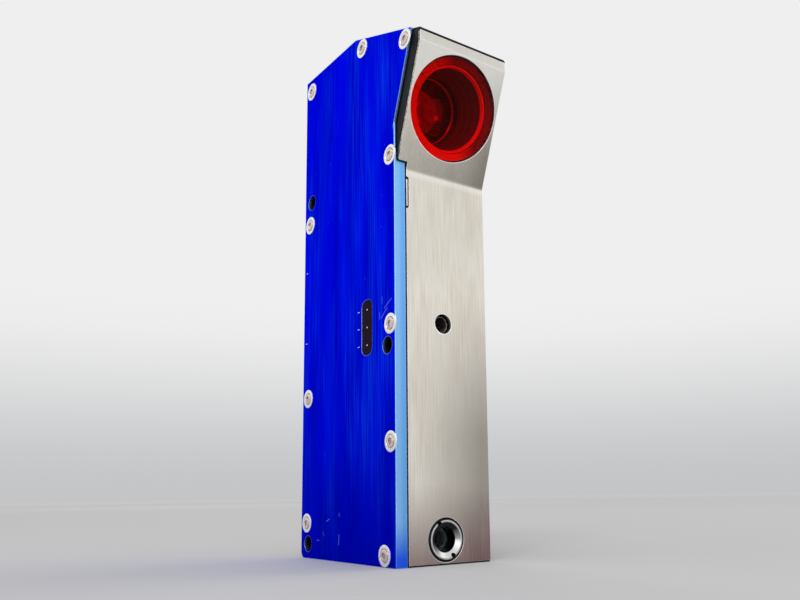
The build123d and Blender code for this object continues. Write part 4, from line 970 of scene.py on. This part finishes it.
@dataclass(frozen=True)
class CoverSide:
    """The blue cover with its ten flanged button screws, its slot window and the ink ticks beside it."""

    screws: tuple[Span, ...] = (
        (60.4, 184.6), (20.8, 184.3), (-7.2, 174.1), (2.5, 136.5), (60.4, 128.0),
        (2.5, 78.1), (60.4, 59.1), (2.5, 39.6), (60.4, 12.7), (6.4, 3.6),
    )
    flange: float = 3.45
    flange_height: float = 0.4
    flange_bevel: Span = (0.1, 0.08)
    rounding: float = 0.06
    groove: float = 2.3
    groove_depth: float = 0.14
    dome: float = 2.1
    dome_angles: Span = (86.0, 36.0)
    head: float = 0.7
    shank: float = 1.5
    shank_length: float = 4.0
    shank_chamfer: float = 0.35
    hexagon: float = 1.15
    socket_depth: float = 0.4
    socket_start: Span = (0.1, 0.14)
    # Dirt and painted shade on each screw's rows: the groove and the socket take painted shade with dirt, the dome
    # painted shade.
    groove_grime_and_shade: float = 0.85
    dome_shade: float = 0.4
    socket_grime_and_shade: tuple[float, ...] = (0.5, 0.7, 0.9, 0.7)
    lamp: float = 0.3
    lamp_rise: float = 0.1
    lamp_depth: float = 17.6
    lamp_heights: tuple[float, ...] = (73.2, 79.4, 85.6)
    pane_face: float = -19.4
    ticks: tuple[Span, ...] = ((23.1, 85.6), (23.1, 79.5), (23.1, 73.3), (62.9, 109.0), (62.8, 80.8))
    tick: float = 0.16
    tick_stretch: float = 0.44
    tick_rise: float = 0.02

    def screw(self, depth: float, height: float, angle: float) -> Shell:
        """Work out one screw.

        Rows run from the shank's end out to the flange, into a groove, over the dome and down the socket. The dome
        is part of an ellipse: its radius is its own times the sine, and its height the flange's plus the rest of the
        head's times the cosine, of an angle that falls from the first of its angles to the second. In the socket's
        rows the radius is the hexagon's: its half width across flats over the cosine of the angle from the nearest
        flat's middle.

        Args:
            depth: Its place behind the front, in mm.
            height: Its height, in mm.
            angle: How far its socket is turned, in radians.
        Returns:
            The screw's shell.
        """
        columns, groove_rows, hair = 96, 9, 0.01
        shank, chamfer, foot, level = self.shank, self.shank_chamfer, -self.shank_length, self.flange_height
        across, up = self.flange_bevel
        corners = [(shank - chamfer, foot), (shank, foot + chamfer), (shank, 0.0), (self.flange, 0.0)]
        corners += [(self.flange, level - up), (self.groove + across, level), (self.groove, level - self.groove_depth)]
        corners += [(self.dome + 2 * hair, level - self.groove_depth), (self.dome + hair, level)]
        body = rounded(corners, self.rounding)
        swing = np.radians(np.linspace(*self.dome_angles, 10))
        dome = np.stack([self.dome * np.sin(swing), level + (self.head - level) * np.cos(swing)], -1)
        rim, top = dome[-1]
        floor = self.head - self.socket_depth
        sides = [(0.0, top - start) for start in self.socket_start] + [(0.0, floor), (2 * hair, floor - 2 * hair)]
        inset, heights = np.array(sides).T
        angles = np.linspace(0, 2 * np.pi, columns, endpoint=False)
        hexagon = self.hexagon * np.cos(np.pi / 6) / np.cos((angles % (np.pi / 3)) - np.pi / 6) - inset[:, None]
        socket = np.stack([hexagon, np.broadcast_to(heights[:, None], hexagon.shape)], -1)
        parts = [body, dome, np.array([(rim - self.rounding, top + hair)]), socket]
        grime_and_shade = np.repeat(
            (0.0, self.groove_grime_and_shade, self.dome_shade), (len(body) - groove_rows, groove_rows, len(dome) + 1)
        )
        spindle = Spindle((COVER_FACE, FRONT + depth, height), LEFT, (0.0, float(np.cos(angle)), float(np.sin(angle))))
        return turn(spindle, parts, columns, soil=np.append(grime_and_shade, self.socket_grime_and_shade))

    def ink_tick(self, depth: float, height: float) -> Shell:
        """Work out one ink tick: a flat dash with round ends, a circle pulled apart along Y.

        Args:
            depth: Its middle behind the front, in mm.
            height: Its height, in mm.
        Returns:
            The tick's shell, a hair proud of the cover.
        """
        profile = np.array(
            [(self.tick, -self.tick_rise), (self.tick, self.tick_rise - 0.005), (self.tick - 0.02, self.tick_rise)]
        )
        shell = turn(Spindle((COVER_FACE, FRONT + depth, height), LEFT, BACK), [profile], 24)
        ends = np.sign(np.round(shell.points[:, 1] / MM - FRONT - depth, 4))
        shell.points[:, 1] += ends * self.tick_stretch * MM
        return shell

    def lamp_top(self, height: float) -> Shell:
        """Work out the clear top of one lamp, a low dome on the pane: part of an ellipse, as the screw's dome is.

        Args:
            height: Its height, in mm.
        Returns:
            The dome's shell.
        """
        swing = np.radians(np.linspace(90, 8, 6))
        dome = np.stack([self.lamp * np.sin(swing), self.lamp_rise * np.cos(swing)], -1)
        spindle = Spindle((self.pane_face, FRONT + self.lamp_depth, height), LEFT, BACK)
        return turn(spindle, [np.array([(self.lamp, -0.2)]), dome], 32)

    def build(self) -> None:
        """Build and dress the cover's pieces."""
        angles = np.random.default_rng(7).uniform(0, np.pi / 3, len(self.screws))
        heads = [self.screw(*place, angle) for place, angle in zip(self.screws, angles)]
        SCREW_ZINC.dress(make_piece("button_screws", heads, ("cover_screws",)))
        WHITE_INK.dress(make_piece("ink_ticks", [self.ink_tick(*place) for place in self.ticks]))
        LAMP_TOP.dress(make_piece("lamp_tops", [self.lamp_top(height) for height in self.lamp_heights]))
        dress_nodes({BLUE_COVER: ("side_cover",), SMOKED: ("indicator_window",), RUBBER: ("cover_gasket",)})


@dataclass(frozen=True)
class CaseAndPlate:
    """The black case, the bent silver plate on its front with a pin in its notch, and the film that holds it."""

    pin_foot: Point = (-14.05, -31.85, 118.7)
    pin_length: float = 9.6
    pin: float = 0.45

    def build(self) -> None:
        """Build the pin, and dress the case's nodes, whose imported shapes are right."""
        profile = rounded([(0.05, 0.0), (self.pin, 0.0), (self.pin, self.pin_length), (0.05, self.pin_length)], 0.3)
        PLAIN_STEEL.dress(make_piece("notch_pin", [turn(Spindle(self.pin_foot, UP), [profile], 48)]))
        dress_nodes({BLACK_CASE: ("housing",), SILVER_PLATE: ("front_plate",), ADHESIVE: ("front_bond",)})


@dataclass(frozen=True)
class ReceivingOptics:
    """The red filter in the leaning face, and the hood, barrel and lenses behind it.

    Heights go inwards from the face.
    """

    spindle: Spindle = WINDOW_AXIS
    glass: float = 17.25
    glass_start: float = 0.4
    glass_end: float = 2.4
    chamfer: float = 0.4
    rear_chamfer: float = 0.15
    lens: float = 11.4
    lens_start: float = 16.0
    lens_edge: float = 2.0
    lens_rim: float = 1.9
    front_bulge: float = 1.8
    rear_bulge: float = 1.5

    def filter(self) -> Shell:
        """Work out the filter: a disc with a chamfer on its front edge and a fine one behind.

        Returns:
            The filter's shell.
        """
        start, end, front, rear = self.glass_start, self.glass_end, self.chamfer, self.rear_chamfer
        corners = [(0.5, start), (self.glass - front, start), (self.glass, start + front)]
        corners += [(self.glass, end - rear), (self.glass - rear, end), (0.5, end)]
        return turn(self.spindle, [rounded(corners, 0.08)], 256)

    def front_lens(self) -> Shell:
        """Work out the receiving lens.

        Each face is a parabola: the bulge times 1 minus the square of the distance from the axis over the clear
        radius. The edge has a flat rim round the clear part.

        Returns:
            The lens's shell.
        """
        reach = np.linspace(0.04, 1, 24)
        radii = (self.lens - self.lens_rim) * reach
        lens_end = self.lens_start + self.lens_edge
        front = np.stack([radii, self.lens_start - self.front_bulge * (1 - reach**2)], -1)
        rear = np.stack([radii, lens_end + self.rear_bulge * (1 - reach**2)], -1)
        edge = np.array([(self.lens, self.lens_start), (self.lens, lens_end)])
        return turn(self.spindle, [front, edge, rear[::-1]], 160)

    def build(self) -> None:
        """Build and dress the optics."""
        RED_GLASS.dress(make_piece("filter_glass", [self.filter()], ("receiver_window",)))
        LENS_GLASS.dress(make_piece("receiving_lens", [self.front_lens()], ("front_lens",)))
        dress_nodes(
            {
                SEAT: ("receiver_gasket",),
                PALE_RUBBER: ("thermal_pad",),
                HOOD: ("lens_hood",),
                BLACK_TUBE: ("lens_barrel", "lens_lock_ring"),
                BARE_ALUMINIUM: ("lens_spacer", "barrel_straps", "sensor_bracket"),
                CLEAR_GLASS: ("rear_lens", "sensor_glass"),
                PLAIN_STEEL: ("strap_screws", "sensor_screws", "bracket_screws"),
            }
        )


@dataclass(frozen=True)
class LightSource:
    """The emitter at the foot: spanner ring, seal, small glass, and the tube with its diode behind."""

    def build(self) -> None:
        """Dress the emitter's nodes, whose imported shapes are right."""
        dress_nodes(
            {
                TURNED_RING: ("emitter_ring",),
                RUBBER: ("emitter_seal", "emitter_gasket"),
                CLEAR_GLASS: ("emitter_window", "collimator_lens"),
                BLACK_TUBE: ("laser_tube",),
                BARE_ALUMINIUM: ("tube_lock_ring", "diode_clamp"),
                GOLD: ("laser_diode",),
                PLAIN_STEEL: ("laser_set_screw",),
            }
        )


@dataclass(frozen=True)
class FrontThread:
    """The steel bush behind the front hole, with its M5 thread cut all the way through."""

    spindle: Spindle = THREAD_AXIS
    start: float = 1.5
    length: float = 10.0
    outer: float = 4.0
    core: float = 2.1
    depth: float = 0.4
    pitch: float = 0.8
    countersink: float = 0.5

    def bush(self) -> Shell:
        """Work out the bush: a rounded ring outside, and in its bore a thread that ends in the countersinks.

        Returns:
            The bush's shell.
        """
        end, mouth, columns = self.start + self.length, self.core + self.countersink, 96
        corners = [(mouth, self.start), (self.outer, self.start), (self.outer, end), (mouth, end)]
        run = np.linspace(end - self.countersink, self.start + self.countersink, 90)
        thread = threaded((self.core + self.depth, self.core), run, self.pitch, columns, 0.5)
        return turn(self.spindle, [rounded(corners, 0.2), thread], columns, True)

    def build(self) -> None:
        """Build and dress the bush."""
        TURNED_BUSH.dress(make_piece("threaded_bush", [self.bush()], ("thread_insert",)))


@dataclass(frozen=True)
class RearConnectors:
    """The two round plugs on the rear: nickel sleeves with M12 threads, their inserts and their contacts."""

    heights: tuple[tuple[str, float], ...] = (("a", 80.5), ("b", 109.7))
    sleeve: float = 6.0
    bore: float = 4.6
    flange: float = 8.2
    washer: float = 0.8
    flange_end: float = 2.8
    relief: float = 0.8
    lip: float = 0.5
    chamfer: float = 0.75
    end: float = 13.0
    stub: float = 9.0
    pitch: float = 1.0
    depth: float = 0.55

    def shell(self, height: float) -> Shell:
        """Work out one sleeve.

        Rows run from the stub inside the case out over the flange and the thread, round the lip and back down the
        bore.

        Args:
            height: Its axis above the base, in mm.
        Returns:
            The sleeve's shell.
        """
        columns, root = 128, self.sleeve - self.depth
        thread_start, thread_end = self.flange_end + self.relief, self.end - self.lip
        inside = [(self.bore, -self.stub), (self.sleeve, -self.stub), (self.sleeve, self.washer)]
        inside += [(self.flange, self.washer), (self.flange, self.flange_end), (root, self.flange_end)]
        outside = [(root, thread_end), (self.sleeve - self.chamfer, self.end), (self.bore, self.end)]
        run = np.linspace(thread_start + 0.05, thread_end - 0.1, 96)
        thread = threaded((root, self.sleeve), run, self.pitch, columns)
        parts = [rounded([*inside, (root, thread_start)], 0.25), thread, rounded(outside, 0.1)]
        return turn(Spindle((0, REAR, height), BACK), parts, columns, True)

    def build(self) -> None:
        """Build and dress both plugs."""
        for letter, height in self.heights:
            shell = self.shell(height)
            NICKEL.dress(make_piece(f"plug_sleeve_{letter}", [shell], (f"plug_shell_{letter}",)))
            parts = {RUBBER: "washer", CHIP: "insert", GOLD: "contacts", NICKEL: "nut", SHEATH: "lead"}
            dress_nodes({finish: (f"plug_{part}_{letter}",) for finish, part in parts.items()})


@dataclass(frozen=True)
class Electronics:
    """The boards inside the case and what they carry."""

    def build(self) -> None:
        """Dress the electronics' nodes."""
        dress_nodes(
            {
                BOARD: ("main_board", "sensor_board", "laser_board"),
                NICKEL: ("board_spacers",),
                PLAIN_STEEL: ("board_screws",),
                CHIP: ("processor", "board_chips", "image_sensor"),
                FERRITE: ("power_coil",),
                CAN: ("capacitors",),
                CREAM: ("board_headers",),
                LAMP_RESIN: ("indicator_lamps",),
                GUIDE: ("light_guide",),
                SHEATH: ("laser_lead", "sensor_lead"),
            }
        )


@dataclass(frozen=True)
class Studio:
    """The pale floor, the soft light and the camera. The lamps, their aim and the camera's eye are in metres."""

    floor_radius: float = 9000.0
    floor_level: float = -0.02
    horizon: str = "#C4C5C7"
    zenith: str = "#EFEFEF"
    horizon_rise: float = 0.24
    ambient: float = 0.6
    focal: float = 35.66
    sensor: float = 36.0
    shift: Span = (-0.0523, 0.0829)
    clip: Span = (0.005, 50.0)
    eye: Point = (-0.15698, -0.24402, 0.02310)
    right: Point = (0.80572, -0.59212, -0.01424)
    down: Point = (0.08197, 0.13529, -0.98741)
    forward: Point = (0.58659, 0.79441, 0.15754)
    aim: Point = (0.0, 0.0, 0.1)
    lamps: tuple[tuple[str, Point, float, float], ...] = (
        ("key_light", (-1.0, -1.0, 1.4), 1.0, 11.0),
        ("fill_light", (1.4, -0.2, 1.3), 1.0, 6.0),
        ("rear_light", (0.5, 1.5, 1.2), 1.0, 5.0),
        ("window_light", (-0.35, -1.3, 0.25), 0.4, 1.8),
    )

    def floor(self) -> None:
        """Lay the floor: a flat disc whose radius grows with the cube of the row, so that it is finer near the object.

        The rows run inwards, which turns the faces up, and the disc is left open at its rim.
        """
        rows, columns = 24, 96
        reach = self.floor_radius * np.linspace(1, 0.05, rows) ** 3
        shell = turn(Spindle((0, 0, 0), UP), [np.stack([reach, np.full(rows, self.floor_level)], -1)], columns)
        mesh = bpy.data.meshes.new("floor")
        mesh.from_pydata(shell.points.tolist(), [], shell.quads.tolist() + shell.triangles[columns:].tolist())
        disc = bpy.data.objects.new("floor", mesh)
        bpy.context.scene.collection.objects.link(disc)
        FLOOR_PAPER.dress(disc)

    def backdrop(self) -> None:
        """Set the world: an even soft light.

        Camera, mirrors and glass see it as a pale sky that rises from the horizon.
        """
        world = bpy.data.worlds.new("soft_studio")
        bpy.context.scene.world = world
        world.use_nodes = True
        tree = world.node_tree
        add = partial(add_node, tree)
        tree.nodes.remove(tree.nodes["Background"])
        way = add("TexCoord", out="Generated")
        rise = add("SeparateXYZ", {0: way}, "Z")
        share = add("MapRange", {0: rise, 1: 0.0, 2: self.horizon_rise}, interpolation_type="SMOOTHSTEP")
        sky = add("Mix", {0: share, 6: linear(self.horizon), 7: linear(self.zenith)}, 2, data_type="RGBA")
        light = add("Background", {0: (1, 1, 1, 1), 1: self.ambient})
        shown = add("LightPath", out="Is Camera Ray")
        for kind in ("Is Glossy Ray", "Is Transmission Ray"):
            ray = add("LightPath", out=kind)
            shown = add("Math", {0: shown, 1: ray}, operation="MAXIMUM")
        seen = add("Background", {0: sky, 1: 1.0})
        mix = add("MixShader", {0: shown, 1: light, 2: seen})
        tree.links.new(mix, tree.nodes["World Output"].inputs[0])

    def light(self) -> None:
        """Hang the lamps: square area lamps that look at the object's middle."""
        for name, place, size, power in self.lamps:
            data = bpy.data.lights.new(name, "AREA")
            data.size = size
            data.energy = power
            lamp = bpy.data.objects.new(name, data)
            back = Vector(place) - Vector(self.aim)
            lamp.matrix_world = Matrix.Translation(place) @ back.to_track_quat("Z", "Y").to_matrix().to_4x4()
            bpy.context.scene.collection.objects.link(lamp)

    def camera(self) -> None:
        """Set the camera up at the photograph's place: its columns are right, up, backwards and the place."""
        data = bpy.data.cameras.new("camera")
        data.lens = self.focal
        data.sensor_width = self.sensor
        data.shift_x, data.shift_y = self.shift
        data.clip_start, data.clip_end = self.clip
        camera = bpy.data.objects.new("camera", data)
        columns = np.stack([self.right, np.negative(self.down), np.negative(self.forward), self.eye], -1)
        camera.matrix_world = Matrix([*columns.tolist(), (0, 0, 0, 1)])
        bpy.context.scene.collection.objects.link(camera)
        bpy.context.scene.camera = camera

    def build(self) -> None:
        """Set up the whole studio."""
        self.camera()
        self.floor()
        self.backdrop()
        self.light()
        bpy.context.scene.view_settings.view_transform = "Standard"
        LOG.info("studio: floor, backdrop, %d lamps and camera", len(self.lamps))


def main() -> None:
    """Build the studio and every sub-assembly in order."""
    logging.basicConfig(level=logging.INFO, format="%(name)s: %(message)s")
    parts = (Studio, CaseAndPlate, CoverSide, ReceivingOptics, LightSource, FrontThread, RearConnectors, Electronics)
    for part in parts:
        part().build()


if __name__ == "__main__":
    main()
